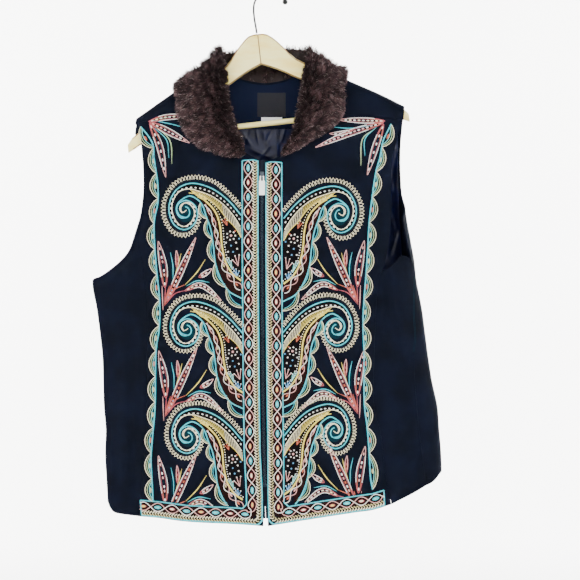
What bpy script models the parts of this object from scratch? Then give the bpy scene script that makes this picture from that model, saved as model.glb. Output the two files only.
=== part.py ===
"""Zip vest of dark felted wool with a fur roll collar, hanging on a tilted wooden hanger.

All tables and sizes are in millimetres. X runs to the viewer's right, Y away from the
viewer and Z up; the origin is the inner top of the hanger's hook.
"""
import math

import bpy
import bmesh
import numpy as np

MM = 0.001

# Cloth and seams
CLOTH = 2.4
SEAM_PULL = 0.2
LAYER_GAP = 0.4
FACING_GAP = 1.2
LINING_GAP = 2.4
TAPE = 1.0
SATIN = 1.0
LABEL = 0.6
SHOULDER_ROUND = 12.0
SHOULDER_DROP = 130.0
WRAP_WIDTH = 330.0
SIDE_PINCH = 2.7
SIDE_PINCH_SPAN = 0.25
LEFT_POWER = 2.4
RIGHT_POWER = 9.0

# Zip
ZIP_TOP = -266.0
ZIP_END = -778.0
TOOTH_WIDTH = 2.4
TOOTH_DEPTH = 2.0
SLIDER_WIDTH = 6.6
SLIDER_LENGTH = 12.0
SLIDER_BELOW = 17.5
SLIDER_PROUD = 0.9
BRIDGE_HALF = 1.1
BRIDGE_RISE = 3.6
BRIDGE_WALL = 1.1
TAB_WIDTH = 9.3
TAB_LENGTH = 24.0
TAB_THICK = 1.4
TAB_LEAN = math.radians(8)

# Collar
COLLAR_THICK = 15.0
COLLAR_LIFT = 1.2
SHOULDER_LIFT = 5
COLLAR_LOFT = 5.0
COLLAR_BEND = 28.0
COLLAR_ACROSS = 9
COLLAR_TIP = 0.4
COLLAR_EDGE = 0.8

# Hanger
HANGER_TILT = math.radians(6.3)
CROWN = (-18.9, -64.6)
ARM_THICK = 13.0
ARM_CORNER = 2.0
BAR_RADIUS = 4.25
BAR_DROP = 142.0
BAR_SEAT = 0.8
HOOK_WIRE = 3.2
HOOK_RADIUS = 25.2
HOOK_BALL = 4.4

# Outline seen from the front and the fullness of the front and the back at each height
OUTLINE_COLUMNS = ("height", "left", "right", "front", "back")
OUTLINE = (
    (-60, -214, 226, 24, 20),
    (-200, -216, 221, 27, 22),
    (-250, -224, 214, 32, 26),
    (-300, -238, 212, 37, 29),
    (-350, -252, 215, 41, 31),
    (-390, -264, 222, 43, 32),
    (-424, -274, 228, 43, 32),
    (-452, -279, 231, 42, 31),
    (-499, -272, 240, 40, 29),
    (-537, -267, 245, 38, 28),
    (-575, -263, 250, 37, 28),
    (-613, -262, 256, 36, 29),
    (-650, -261, 264, 36, 30),
    (-688, -258, 267, 36, 31),
    (-726, -259, 270, 37, 32),
    (-764, -257, 271, 38, 33),
    (-802, -255, 270, 39, 34),
    (-850, -253, 270, 40, 35),
)

# Shoulder ridge, the line over which the cloth hangs
RIDGE_COLUMNS = ("across", "height")
RIDGE = (
    (-260, -232), (-211, -199), (-154, -159), (-70, -104), (-21, -82),
    (53, -105), (90, -122.2), (124, -138.2), (174, -160), (220, -183), (260, -203),
)

# Largest folds: from one end to the other, half width and height (outward is positive)
FOLD_COLUMNS = ("side", "x0", "z0", "x1", "z1", "width", "height")
FOLDS = (
    (-1, 176, -436, 201, -589, 8, -7),
    (-1, 203, -440, 207, -560, 15, 4),
    (-1, 253, -672, 206, -735, 13, -6),
    (-1, 250, -716, 198, -764, 13, 4),
    (-1, -215, -419, -220, -495, 11, 4),
    (-1, -228, -562, -225, -783, 12, 4),
    (-1, -150, -600, -160, -800, 22, -3),
    (1, -90, -420, -112, -790, 26, 4),
    (1, 60, -400, 82, -780, 24, -4),
    (1, 150, -480, 172, -760, 17, 4),
)

# Seams and edges in the front view (x, z)
SHOULDER_SEAM_LEFT = ((-211, -207), (-189, -202), (-147, -194), (-110, -182), (-78, -168))
SHOULDER_SEAM_RIGHT = ((61, -181), (114, -192), (180, -198), (210, -202))
NECKLINE_LEFT = ((-78, -168), (-74, -190), (-67, -213), (-56, -235), (-40, -252), (-16, -264.5))
NECKLINE_RIGHT = ((-7.4, -267), (7, -263), (23, -255), (39, -241), (50, -219), (56, -199), (61, -181))
NECKLINE_YOKE_LEFT = ((-78, -168, -1), (-75, -140, -1), (-71, -106, 1))
NECKLINE_BACK = ((-71, -106, 1), (-60, -124, 1), (-40, -136, 1), (-9, -141, 1), (24, -136, 1),
                 (44, -124, 1), (54, -108, 1))
NECKLINE_YOKE_RIGHT = ((54, -108, 1), (58, -140, -1), (61, -181, -1))
ARMHOLE_LEFT = ((-211, -207), (-203, -225), (-201, -250), (-199, -272), (-198, -310),
                (-202, -348), (-209, -373))
ARMHOLE_LEFT_LOW = ((-279, -452), (-261, -443), (-236, -424), (-220, -405), (-209, -373))
ARMHOLE_RIGHT = ((210, -202), (202, -224), (196, -247), (191, -271), (190, -318), (191, -346),
                 (187, -386), (182, -417), (176, -438))
ARMHOLE_RIGHT_LOW = ((176, -438), (187, -433), (196, -424), (206, -414), (220, -420), (230, -448))
PRINCESS_LEFT = ((-209, -373), (-199, -424), (-192, -475), (-190, -530), (-193, -600), (-193, -690),
                 (-198, -750), (-204, -823))
PRINCESS_RIGHT = ((176, -438), (169, -456), (165, -515), (162, -614), (164, -660), (173, -690),
                  (180, -751), (190, -802))
SIDE_SEAM_RIGHT = ((230, -448), (229, -470), (228, -507), (230, -542), (226, -589), (232, -672),
                   (241, -745), (245, -773))
SIDE_SEAM_LEFT_HEIGHTS = (-452, -800)
ZIP_EDGE_LEFT = ((-16, -264.5), (-15.8, -400), (-14.5, -600), (-12.8, -720), (-9.4, -784), (-9.2, -836))
ZIP_EDGE_RIGHT = ((-7.4, -267), (-7.3, -400), (-6, -600), (-4.4, -720), (-4, -784), (-2.6, -836))
HEM_LEFT = ((-204, -823), (-172, -825), (-128, -830), (-53, -833), (-9.2, -836))
HEM_LEFT_SIDE = ((-255, -800), (-250, -812), (-240, -819), (-204, -823))
HEM_RIGHT = ((-2.6, -836), (35, -830), (86, -822), (136, -814.5), (161, -811), (190, -802))
HEM_RIGHT_SIDE = ((190, -802), (224, -785), (245, -773))
HEM_BACK = ((-255, -800, 1), (-236, -812, 1), (-150, -815, 1), (0, -813, 1), (150, -797, 1),
            (230, -772, 1), (262, -757, 1), (268, -755, -1), (245, -773, -1))
ARMHOLE_BACK_LEFT = ((-200, -240, 1), (-196, -275, 1), (-195, -320, 1), (-204, -366, 1),
                     (-222, -409, 1), (-252, -438, 1), (-279, -452, 1))
ARMHOLE_BACK_RIGHT = ((208, -225, 1), (206.5, -252, 1), (207, -290, 1), (210.5, -325, 1),
                      (210, -352, -1), (214, -384, -1), (222, -420, -1), (230, -448, -1))

# Collar stations: inner edge, crest and outer edge; side -1 lies on the front, 1 on the back
COLLAR_COLUMNS = ("in_x", "in_z", "in_side", "crest_x", "crest_y", "crest_z", "out_x", "out_z", "out_side")
COLLAR = (
    (-37, -257, -1, -41, None, -260, -45, -263, -1),
    (-40, -245, -1, -56, None, -253, -73, -259, -1),
    (-46, -227, -1, -76, None, -237, -108, -245, -1),
    (-54, -207, -1, -92, None, -215, -129, -224, -1),
    (-61, -182, -1, -101, None, -189, -141, -199, -1),
    (-65, -156, -1, -105, -36, -158, -146, -174, -1),
    (-68, -130, -1, -106, -22, -122, -144, -157, 1),
    (-70, -113, -1, -96, 2, -107, -134, -176, 1),
    (-69, -112, 1, -84, 18, -99, -112, -188, 1),
    (-62, -124, 1, -62, 27, -96, -80, -196, 1),
    (-40, -137, 1, -36, 32, -90, -42, -199, 1),
    (-9, -142, 1, -9, 34, -88, -9, -200, 1),
    (23, -137, 1, 18, 32, -87, 28, -198, 1),
    (44, -125, 1, 44, 26, -89, 64, -190, 1),
    (54, -112, 1, 64, 18, -94, 92, -180, 1),
    (56, -114, -1, 79, 2, -102, 110, -166, 1),
    (53, -132, -1, 86, -22, -112, 117, -142, 1),
    (50, -155, -1, 85, -36, -144, 118, -164, -1),
    (46, -177, -1, 82, None, -175, 115, -188, -1),
    (41, -203, -1, 76, None, -195, 107, -203, -1),
    (37, -224, -1, 66, None, -213, 92, -217, -1),
    (28, -240, -1, 47, None, -231, 66, -234, -1),
    (21, -251, -1, 30, None, -248, 42, -251, -1),
    (17, -260, -1, 20, None, -260, 25, -259, -1),
)

# Hanger arm in the hanger's own axes: out from the centre, its top and foot down from the crown
ARM_COLUMNS = ("out", "top", "foot")
ARM = (
    (0.15, 0, 48.7), (8, 0.6, 51.8), (15, 2.6, 54.8), (22, 8, 58), (30, 16, 62), (38, 25.5, 66.5),
    (46, 36, 71.5), (56, 46.2, 77), (95, 70, 97.5), (134, 93, 118), (190, 125.4, 147.4),
    (214, 141.2, 160), (222.5, 151, 163.6),
)
HOOK_STEM = ((-20.3, -64.0), (-21.6, -55), (-23.9, -42.5), (-25.2, -30))


def read(table, columns, name, at, by):
    """A smooth reading of one named column of a table along another."""
    rows = sorted(table, key=lambda row: row[columns.index(by)])
    keys = np.array([row[columns.index(by)] for row in rows], float)
    values = np.array([row[columns.index(name)] for row in rows], float)
    slopes = np.gradient(values, keys)
    at = np.clip(at, keys[0], keys[-1])
    i = np.clip(np.searchsorted(keys, at) - 1, 0, len(keys) - 2)
    span = keys[i + 1] - keys[i]
    t = (at - keys[i]) / span
    return ((2 * t**3 - 3 * t**2 + 1) * values[i] + (t**3 - 2 * t**2 + t) * span * slopes[i]
            + (3 * t**2 - 2 * t**3) * values[i + 1] + (t**3 - t**2) * span * slopes[i + 1])


def outline(name, z):
    return read(OUTLINE, OUTLINE_COLUMNS, name, z, "height")


def ridge(x):
    return read(RIDGE, RIDGE_COLUMNS, "height", x, "across")


def smooth(t):
    t = np.clip(t, 0, 1)
    return t * t * (3 - 2 * t)


def across(x, z):
    """Place across the outline, from -1 at the left edge to 1 at the right edge."""
    left = outline("left", z)
    right = outline("right", z)
    return np.clip((2 * x - left - right) / (right - left), -1, 1)


def folds(x, z, side):
    total = np.zeros_like(x + z)
    for row in FOLDS:
        f = dict(zip(FOLD_COLUMNS, row))
        run = np.array((f["x1"] - f["x0"], f["z1"] - f["z0"]), float)
        length = np.hypot(*run)
        along = ((x - f["x0"]) * run[0] + (z - f["z0"]) * run[1]) / length
        off = ((x - f["x0"]) * run[1] - (z - f["z0"]) * run[0]) / length
        ends = smooth((along + 25) / 50) * smooth((length + 25 - along) / 90)
        total = total + (side == f["side"]) * f["height"] * ends * np.exp(-(off / f["width"])**2)
    return total


def depth_squared(x, z, side):
    """Square of the cloth's distance from the middle plane, on the front or the back."""
    q = across(x, z)
    full = np.where(side < 0, outline("front", z), outline("back", z))
    left = 1 - np.abs(q)**LEFT_POWER
    right = np.sqrt(np.maximum(1 - np.abs(q)**RIGHT_POWER, 0))
    pinch = SIDE_PINCH * np.clip(1 - (1 + q) / SIDE_PINCH_SPAN, 0, 1)**2
    hang = np.where(q < 0, full * left + pinch, full * right)
    drop = np.maximum(ridge(x) - z, 0)
    cap = np.maximum(1 - np.maximum(1 - drop / SHOULDER_ROUND, 0)**2, 0)
    depth = SHOULDER_ROUND + (hang - SHOULDER_ROUND) * smooth(drop / SHOULDER_DROP)
    closed = np.where(q > 0, right, 1.0)
    return cap * (depth + folds(x, z, side) * closed)**2


def skin(x, z, side, inward=0.0):
    """Points of the cloth's outer face, moved inward along its normal."""
    x, z, side = np.broadcast_arrays(np.asarray(x, float), np.asarray(z, float), np.asarray(side))
    z = np.minimum(z, ridge(x))
    y = side * np.sqrt(depth_squared(x, z, side))
    step = 0.2
    nx = -(depth_squared(x + step, z, side) - depth_squared(x - step, z, side)) / (4 * step)
    nz = -(depth_squared(x, z + step, side) - depth_squared(x, z - step, side)) / (4 * step)
    normal = np.stack((nx, y, nz), -1)
    normal /= np.maximum(np.linalg.norm(normal, axis=-1, keepdims=True), 1e-9)
    return np.stack((x, y, z), -1) - normal * inward


def spline(points, count):
    """Evenly spaced points along a smooth curve through the given ones."""
    p = np.array(points, float)
    p = np.vstack((2 * p[0] - p[1], p, 2 * p[-1] - p[-2]))
    dense = []
    for i in range(1, len(p) - 2):
        for t in np.linspace(0, 1, 12, endpoint=False):
            dense.append(0.5 * (2 * p[i] + (p[i + 1] - p[i - 1]) * t
                                + (2 * p[i - 1] - 5 * p[i] + 4 * p[i + 1] - p[i + 2]) * t**2
                                + (3 * p[i] - p[i - 1] - 3 * p[i + 1] + p[i + 2]) * t**3))
    dense.append(p[-2])
    dense = np.array(dense)
    length = np.concatenate(((0,), np.cumsum(np.linalg.norm(np.diff(dense, axis=0), axis=1))))
    at = np.linspace(0, length[-1], count + 1)
    return np.stack([np.interp(at, length, dense[:, k]) for k in range(dense.shape[1])], -1)


def join(*curves):
    return np.vstack([curves[0]] + [c[1:] for c in curves[1:]])


def patch(top, bottom, left, right):
    """Grid of points between four edge curves that meet at their ends."""
    u = np.linspace(0, 1, len(top))[None, :, None]
    v = np.linspace(0, 1, len(left))[:, None, None]
    rows = (1 - v) * top[None] + v * bottom[None]
    columns = (1 - u) * left[:, None] + u * right[:, None]
    corners = ((1 - u) * (1 - v) * top[0] + u * (1 - v) * top[-1]
               + (1 - u) * v * bottom[0] + u * v * bottom[-1])
    return rows + columns - corners


def arc_of(drop):
    """Way along the cloth from the ridge for a drop below it."""
    near = np.minimum(np.abs(drop), SHOULDER_ROUND)
    bend = SHOULDER_ROUND * np.arccos(1 - near / SHOULDER_ROUND)
    return np.sign(drop) * (bend + np.maximum(np.abs(drop) - SHOULDER_ROUND, 0))


def drop_of(arc):
    quarter = SHOULDER_ROUND * math.pi / 2
    near = np.minimum(np.abs(arc), quarter)
    bend = SHOULDER_ROUND * (1 - np.cos(near / SHOULDER_ROUND))
    return np.sign(arc) * (bend + np.maximum(np.abs(arc) - quarter, 0))


def to_wrap(points):
    """Turn (x, z, side) into a place round the body and a way down, negative over the shoulder."""
    x, z, side = points[:, 0], np.minimum(points[:, 1], ridge(points[:, 0])), points[:, 2]
    turn = np.arcsin(across(x, z)) / (math.pi / 2)
    low = ridge(x) - z > SHOULDER_DROP * 0.9
    turn = np.where(low & (side < 0), 2 - turn, turn)
    drop = (ridge(x) - z) * np.where(~low & (side < 0), -1, 1)
    return np.stack((turn * WRAP_WIDTH, arc_of(drop)), -1)


def from_wrap(wrap):
    turn, drop = wrap[..., 0] / WRAP_WIDTH, drop_of(wrap[..., 1])
    side = np.where((turn > 1) | (drop < 0), -1, 1)
    q = np.sin(turn * math.pi / 2)
    z = np.full_like(turn, -300.0)
    x = q * 220
    for _ in range(30):
        left = outline("left", z)
        right = outline("right", z)
        x = (left + right) / 2 + q * (right - left) / 2
        z = 0.5 * z + 0.5 * (ridge(x) - np.abs(drop))
    return x, z, side


def pull_in(grid, edges):
    """Draw a panel's edges back by the seam gap."""
    g = grid.copy()
    for edge, near in (("top", (0, 1)), ("bottom", (-1, -2))):
        if edge in edges:
            way = grid[near[1]] - grid[near[0]]
            g[near[0]] += SEAM_PULL * way / np.linalg.norm(way, axis=-1, keepdims=True)
    for edge, near in (("left", (0, 1)), ("right", (-1, -2))):
        if edge in edges:
            way = grid[:, near[1]] - grid[:, near[0]]
            g[:, near[0]] += SEAM_PULL * way / np.linalg.norm(way, axis=-1, keepdims=True)
    return g


def material(name, colour, roughness, metallic=0.0):
    m = bpy.data.materials.new(name)
    m.use_nodes = True
    shader = m.node_tree.nodes["Principled BSDF"]
    shader.inputs["Base Color"].default_value = (*colour, 1)
    shader.inputs["Roughness"].default_value = roughness
    shader.inputs["Metallic"].default_value = metallic
    return m


def add_mesh(name, points, faces, finish, smooth_angle=40, origin=(0, 0, 0)):
    """One closed body as an object, its faces turned outward."""
    origin = np.array(origin, float)
    mesh = bpy.data.meshes.new(name)
    mesh.from_pydata([tuple(p) for p in (np.asarray(points) - origin) * MM], [], faces)
    body = bmesh.new()
    body.from_mesh(mesh)
    bmesh.ops.recalc_face_normals(body, faces=body.faces)
    if body.calc_volume(signed=True) < 0:
        bmesh.ops.reverse_faces(body, faces=body.faces)
    body.to_mesh(mesh)
    body.free()
    mesh.shade_smooth()
    mesh.set_sharp_from_angle(angle=math.radians(smooth_angle))
    mesh.materials.append(finish)
    thing = bpy.data.objects.new(name, mesh)
    thing.location = origin * MM
    bpy.context.scene.collection.objects.link(thing)
    return thing


def wall(name, outer, inner, finish):
    """A sheet with thickness between two grids of the same size."""
    rows, columns = outer.shape[:2]
    count = rows * columns
    faces = []
    for j in range(rows - 1):
        for i in range(columns - 1):
            a, b, c, d = (j * columns + i, j * columns + i + 1, (j + 1) * columns + i + 1, (j + 1) * columns + i)
            faces.append((a, b, c, d))
            faces.append((d + count, c + count, b + count, a + count))
    rim = ([(0, i) for i in range(columns)] + [(j, columns - 1) for j in range(1, rows)]
           + [(rows - 1, i) for i in range(columns - 2, -1, -1)] + [(j, 0) for j in range(rows - 2, 0, -1)])
    for k, (j, i) in enumerate(rim):
        j2, i2 = rim[(k + 1) % len(rim)]
        a, b = j * columns + i, j2 * columns + i2
        faces.append((b, a, a + count, b + count))
    points = np.vstack((outer.reshape(-1, 3), inner.reshape(-1, 3)))
    return add_mesh(name, points, faces, finish)


def loft(name, loops, finish, smooth_angle=40, origin=(0, 0, 0)):
    """A closed body through closed loops, capped flat at both ends."""
    size = len(loops[0])
    faces = []
    for k in range(len(loops) - 1):
        for i in range(size):
            a, b = k * size + i, k * size + (i + 1) % size
            faces.append((a, b, b + size, a + size))
    faces.append(tuple(range(size)))
    faces.append(tuple((len(loops) - 1) * size + i for i in range(size)))
    return add_mesh(name, np.vstack(loops), faces, finish, smooth_angle, origin)


def front_panel(name, top, bottom, left, right, finish):
    plane = patch(top, bottom, left, right)
    x, z = plane[..., 0], plane[..., 1]
    edges = ("top", "bottom", "left", "right")
    wall(name, pull_in(skin(x, z, -1), edges), pull_in(skin(x, z, -1, CLOTH), edges), finish)


PRINCESS_ROWS_LEFT = 19
PRINCESS_ROWS_RIGHT = 17
SEAM_STEPS = 7
FRONT_COLUMNS_NECK = 7
SIDE_COLUMNS = 6
NECK_STEPS = 8
YOKE_STEPS = 7
YOKE_LEVELS = (-19, -14, -9, -4.5, 0, 4.5, 9, 14, 19, 25)
YOKE_FOOT = 18.0


def fronts(felt):
    seam_l = spline(SHOULDER_SEAM_LEFT, SEAM_STEPS)
    seam_r = spline(SHOULDER_SEAM_RIGHT, SEAM_STEPS)
    princess_l = spline(PRINCESS_LEFT, PRINCESS_ROWS_LEFT)
    princess_r = spline(PRINCESS_RIGHT, PRINCESS_ROWS_RIGHT)
    columns = SEAM_STEPS + FRONT_COLUMNS_NECK
    hole_l = spline(ARMHOLE_LEFT, 8)
    hole_r = spline(ARMHOLE_RIGHT, 11)
    rows = len(hole_l) + PRINCESS_ROWS_LEFT - 1
    front_panel("front_left", join(seam_l, spline(NECKLINE_LEFT, FRONT_COLUMNS_NECK)),
                spline(HEM_LEFT, columns), join(hole_l, princess_l), spline(ZIP_EDGE_LEFT, rows), felt)
    rows = len(hole_r) + PRINCESS_ROWS_RIGHT - 1
    front_panel("front_right", join(spline(NECKLINE_RIGHT, FRONT_COLUMNS_NECK), seam_r),
                spline(HEM_RIGHT, columns), spline(ZIP_EDGE_RIGHT, rows), join(hole_r, princess_r), felt)
    front_panel("side_front_left", spline(ARMHOLE_LEFT_LOW, SIDE_COLUMNS),
                spline(HEM_LEFT_SIDE, SIDE_COLUMNS), side_seam_left()[:, :2], princess_l, felt)
    front_panel("side_front_right", spline(ARMHOLE_RIGHT_LOW, SIDE_COLUMNS + 2),
                spline(HEM_RIGHT_SIDE, SIDE_COLUMNS + 2), princess_r,
                spline(SIDE_SEAM_RIGHT, PRINCESS_ROWS_RIGHT), felt)


def side_seam_left():
    z = np.linspace(*SIDE_SEAM_LEFT_HEIGHTS, PRINCESS_ROWS_LEFT + 1)
    return np.stack((outline("left", z), z, np.ones_like(z)), -1)


def sided(points, count):
    """A smooth edge whose points carry the side that they lie on."""
    wrap = to_wrap(np.array(points, float))
    return spline(wrap, count)


def over_shoulder(top):
    """Rows of the back from its top edge, round the shoulder and a little way down behind."""
    rows = [top]
    first = np.minimum(top[:, 1], YOKE_LEVELS[0])
    levels = [(first + YOKE_LEVELS[0]) / 2] + [np.full(len(top), float(e)) for e in YOKE_LEVELS]
    for k, level in enumerate(levels, 1):
        shelf = top[:, 1] + YOKE_FOOT * k / len(levels)
        rows.append(np.stack((top[:, 0], np.maximum(level, shelf)), -1))
    return np.array(rows)


def back_panel(felt):
    """The back, from the forward seams over the shoulders to the hem and round the right side."""
    front_side = -np.ones((SEAM_STEPS + 1, 1))
    seam_l = to_wrap(np.hstack((spline(SHOULDER_SEAM_LEFT, SEAM_STEPS), front_side)))
    seam_r = to_wrap(np.hstack((spline(SHOULDER_SEAM_RIGHT, SEAM_STEPS), front_side)))
    neck = join(sided(NECKLINE_YOKE_LEFT, YOKE_STEPS), sided(NECKLINE_BACK, NECK_STEPS),
                sided(NECKLINE_YOKE_RIGHT, YOKE_STEPS))
    yoke = over_shoulder(join(seam_l, neck, seam_r))
    shelf = yoke[-1]
    side_r = spline(SIDE_SEAM_RIGHT, PRINCESS_ROWS_RIGHT)
    side_r = to_wrap(np.hstack((side_r, -np.ones((len(side_r), 1)))))
    hole_l = spline(np.vstack((shelf[:1], to_wrap(np.array(ARMHOLE_BACK_LEFT, float)))), 7)
    hole_r = spline(np.vstack((shelf[-1:], to_wrap(np.array(ARMHOLE_BACK_RIGHT, float)))), 9)
    left = join(hole_l, to_wrap(side_seam_left()))
    right = join(hole_r, side_r)
    body = patch(shelf, sided(HEM_BACK, len(shelf) - 1), left, right)
    grid = np.concatenate((yoke, body[1:]))
    x, z, side = from_wrap(grid)
    edges = ("top", "bottom", "left", "right")
    wall("back", pull_in(skin(x, z, side), edges), pull_in(skin(x, z, side, CLOTH), edges), felt)


def back_layer(name, top, bottom, columns, rows, depth, thick, finish):
    """A layer inside the back panel between two level curves."""
    top, bottom = spline(top, columns), spline(bottom, columns)
    v = np.linspace(0, 1, rows + 1)[:, None, None]
    plane = (1 - v) * top[None] + v * bottom[None]
    x, z = plane[..., 0], plane[..., 1]
    wall(name, skin(x, z, 1, depth), skin(x, z, 1, depth + thick), finish)


FACING_TOP = ((-58, -128), (-40, -139), (-9, -144), (24, -139), (42, -128))
FACING_FOOT = ((-96, -211), (-9, -213), (80, -211))
LINING_TOP = ((-150, -214), (-96, -211.5), (-9, -213.5), (80, -211.5), (145, -214))
LINING_FOOT = ((-158, -300), (-96, -300), (-9, -300), (80, -300), (156, -300))
LABEL_PLACE = (-19.7, 25.4, -156, -193.7)
CARE_PLACE = (-13.4, 19.7, -195.6, -202.5)


def inner_layers(felt, satin, label, care):
    facing_depth = CLOTH + FACING_GAP
    back_layer("neck_facing", FACING_TOP, FACING_FOOT, 16, 5, facing_depth, SATIN, felt)
    back_layer("back_lining", LINING_TOP, LINING_FOOT, 24, 7, CLOTH + LINING_GAP, SATIN, satin)
    label_depth = facing_depth + SATIN + LAYER_GAP
    for name, place, finish in (("label", LABEL_PLACE, label), ("care_label", CARE_PLACE, care)):
        x0, x1, z0, z1 = place
        back_layer(name, ((x0, z0), (x1, z0)), ((x0, z1), (x1, z1)), 3, 2, label_depth, LABEL, finish)


def zip_line(z):
    """Middle of the zip at each height."""
    zs = -np.array(ZIP_EDGE_LEFT, float)[:, 1]
    middle = (np.array(ZIP_EDGE_LEFT, float)[:, 0] + np.array(ZIP_EDGE_RIGHT, float)[:, 0]) / 2
    return np.interp(-z, zs, middle)


def strip(name, x0, x1, z, depth, thick, finish, columns=1):
    """A band along the zip between two offsets from its middle line."""
    u = np.linspace(x0, x1, columns + 1)[None, :]
    x = zip_line(z)[:, None] + u
    zz = np.repeat(z[:, None], columns + 1, 1)
    wall(name, skin(x, zz, -1, depth), skin(x, zz, -1, depth + thick), finish)


def zip_parts(tape, metal, white):
    rows = np.linspace(ZIP_TOP, ZIP_END, 25)
    tape_depth = CLOTH + LAYER_GAP
    strip("zip_tape_left", -14, -0.2, rows, tape_depth, TAPE, tape, 2)
    strip("zip_tape_right", 0.2, 14, rows, tape_depth, TAPE, tape, 2)
    teeth = np.linspace(ZIP_TOP - 18 - SLIDER_LENGTH, ZIP_END + 8, 24)
    tooth_depth = tape_depth - LAYER_GAP - TOOTH_DEPTH
    strip("zip_teeth_left", -0.2 - TOOTH_WIDTH, -0.2, teeth, tooth_depth, TOOTH_DEPTH, metal)
    strip("zip_teeth_right", 0.2, 0.2 + TOOTH_WIDTH, teeth, tooth_depth, TOOTH_DEPTH, metal)
    stop = np.linspace(ZIP_END + 7.6, ZIP_END + 3, 2)
    strip("zip_stop", -2.6, 2.6, stop, tooth_depth - 0.2, TOOTH_DEPTH, metal)
    slider_and_tab(metal, white, tooth_depth)


def slider_and_tab(metal, white, tooth_depth):
    """Slider body with a bridge over the tab's cross bar, and the hanging tab."""
    top = ZIP_TOP - SLIDER_BELOW
    foot = top - SLIDER_LENGTH
    x = float(zip_line(np.array(top)))
    face = float(min(skin(x, top, -1)[1], skin(x, foot, -1)[1])) - SLIDER_PROUD
    back = face + SLIDER_PROUD + CLOTH
    half = SLIDER_WIDTH / 2
    points = [(xx, yy, zz) for xx in (x - half, x + half)
              for zz, yy in ((top, back), (top, face), (foot, face), (foot, back))]
    faces = [(0, 1, 2, 3), (7, 6, 5, 4)]
    faces += [(i, (i + 1) % 4, (i + 1) % 4 + 4, i + 4) for i in range(4)]
    slider = add_mesh("zip_slider", points, faces, metal)
    unite(slider, bridge(x, top, foot, face, metal))
    under = face - (BRIDGE_RISE - BRIDGE_WALL) / 2
    tab(white, x, under - 0.1, (top + foot) / 2 - 1.6)


def bridge(x, top, foot, face, metal):
    """A flat arch standing on the slider's face."""
    crown = face - BRIDGE_RISE
    under = crown + BRIDGE_WALL
    sunk = face + 0.4
    outside = ((top, sunk), (top - 1.2, crown), (foot + 1.2, crown), (foot, sunk))
    inside = ((top - 2.6, sunk), (top - 3, under), (foot + 3, under), (foot + 2.6, sunk))
    points = []
    for xx in (x - BRIDGE_HALF, x + BRIDGE_HALF):
        points += [(xx, yy, zz) for zz, yy in outside + inside]
    faces = []
    for k in range(3):
        faces.append((k, k + 1, k + 5, k + 4))
        faces.append((k + 12, k + 13, k + 9, k + 8))
        faces.append((k, k + 8, k + 9, k + 1))
        faces.append((k + 4, k + 5, k + 13, k + 12))
    faces.append((0, 4, 12, 8))
    faces.append((3, 11, 15, 7))
    return add_mesh("slider_bridge", points, faces, metal)


def unite(target, tool):
    """Join a tool shape to its target and take the tool away."""
    join_mod = target.modifiers.new("join", "BOOLEAN")
    join_mod.operation = "UNION"
    join_mod.object = tool
    bpy.context.view_layer.update()
    mesh = bpy.data.meshes.new_from_object(target.evaluated_get(bpy.context.evaluated_depsgraph_get()))
    target.modifiers.clear()
    target.data = mesh
    bpy.data.objects.remove(tool)


def tab(white, x, y, z):
    """Pull tab: a cross bar under the bridge, two arms and a wide plate, turning on the bar."""
    bar = TAB_THICK / 2 - 0.05
    arm = 3.4
    gap = 1.6
    neck = 7.5
    plate_top = z - neck
    plate_foot = plate_top - TAB_LENGTH + 2
    half = TAB_WIDTH / 2
    profile_out = [(-arm, z + bar), (arm, z + bar), (arm, plate_top + 1.5), (half, plate_top),
                   (half, plate_foot + 1), (half - 1, plate_foot), (1 - half, plate_foot),
                   (-half, plate_foot + 1), (-half, plate_top), (-arm, plate_top + 1.5)]
    profile_in = [(-gap, z - bar), (gap, z - bar), (gap, plate_top + 1.5), (gap - 0.3, plate_top + 0.6),
                  (0.7, plate_top + 0.4), (0.4, plate_top + 0.3), (-0.4, plate_top + 0.3),
                  (-0.7, plate_top + 0.4), (0.3 - gap, plate_top + 0.6), (-gap, plate_top + 1.5)]
    n = len(profile_out)
    points = []
    for yy in (y - bar, y + bar):
        points += [(x + px, yy, pz) for px, pz in profile_out]
        points += [(x + px, yy, pz) for px, pz in profile_in]
    lean = [(px, y + (py - y) * math.cos(TAB_LEAN) + (pz - z) * math.sin(TAB_LEAN),
             z + (pz - z) * math.cos(TAB_LEAN) - (py - y) * math.sin(TAB_LEAN)) for px, py, pz in points]
    faces = []
    for k in range(n):
        m = (k + 1) % n
        faces.append((k, m, n + m, n + k))
        faces.append((2 * n + k, 3 * n + k, 3 * n + m, 2 * n + m))
        faces.append((k, 2 * n + k, 2 * n + m, m))
        faces.append((n + k, n + m, 3 * n + m, 3 * n + k))
    add_mesh("pull_tab", lean, faces, white, origin=(x, y, z))


def wrap_line(stations, x_name, z_name, side_name):
    """Stations on the cloth: place across and way down from the ridge, negative in front."""
    x = np.array([s[x_name] for s in stations], float)
    side = np.array([s[side_name] for s in stations], float)
    drop = np.maximum(ridge(x) - np.array([s[z_name] for s in stations], float), 0) * side
    return np.stack((x, arc_of(drop)), -1)


def through(points, at):
    """A smooth curve through points, read at the given places counted in points."""
    p = np.vstack((2 * points[0] - points[1], points, 2 * points[-1] - points[-2]))
    i = np.clip(at.astype(int), 0, len(points) - 2)
    t = (at - i)[:, None]
    a, b, c, d = p[i], p[i + 1], p[i + 2], p[i + 3]
    return 0.5 * (2 * b + (c - a) * t + (2 * a - 5 * b + 4 * c - d) * t**2 + (3 * b - a - 3 * c + d) * t**3)


def above_cloth(line, lift):
    x, drop = line[..., 0], drop_of(line[..., 1])
    return skin(x, ridge(x) - np.abs(drop), np.where(drop < 0, -1, 1), -lift[:, None])


def seat(line):
    """Gap under the collar, wider where it turns over the shoulder."""
    return COLLAR_LIFT + SHOULDER_LIFT * np.exp(-(line[:, 1] / SHOULDER_ROUND / 2)**2)


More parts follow.
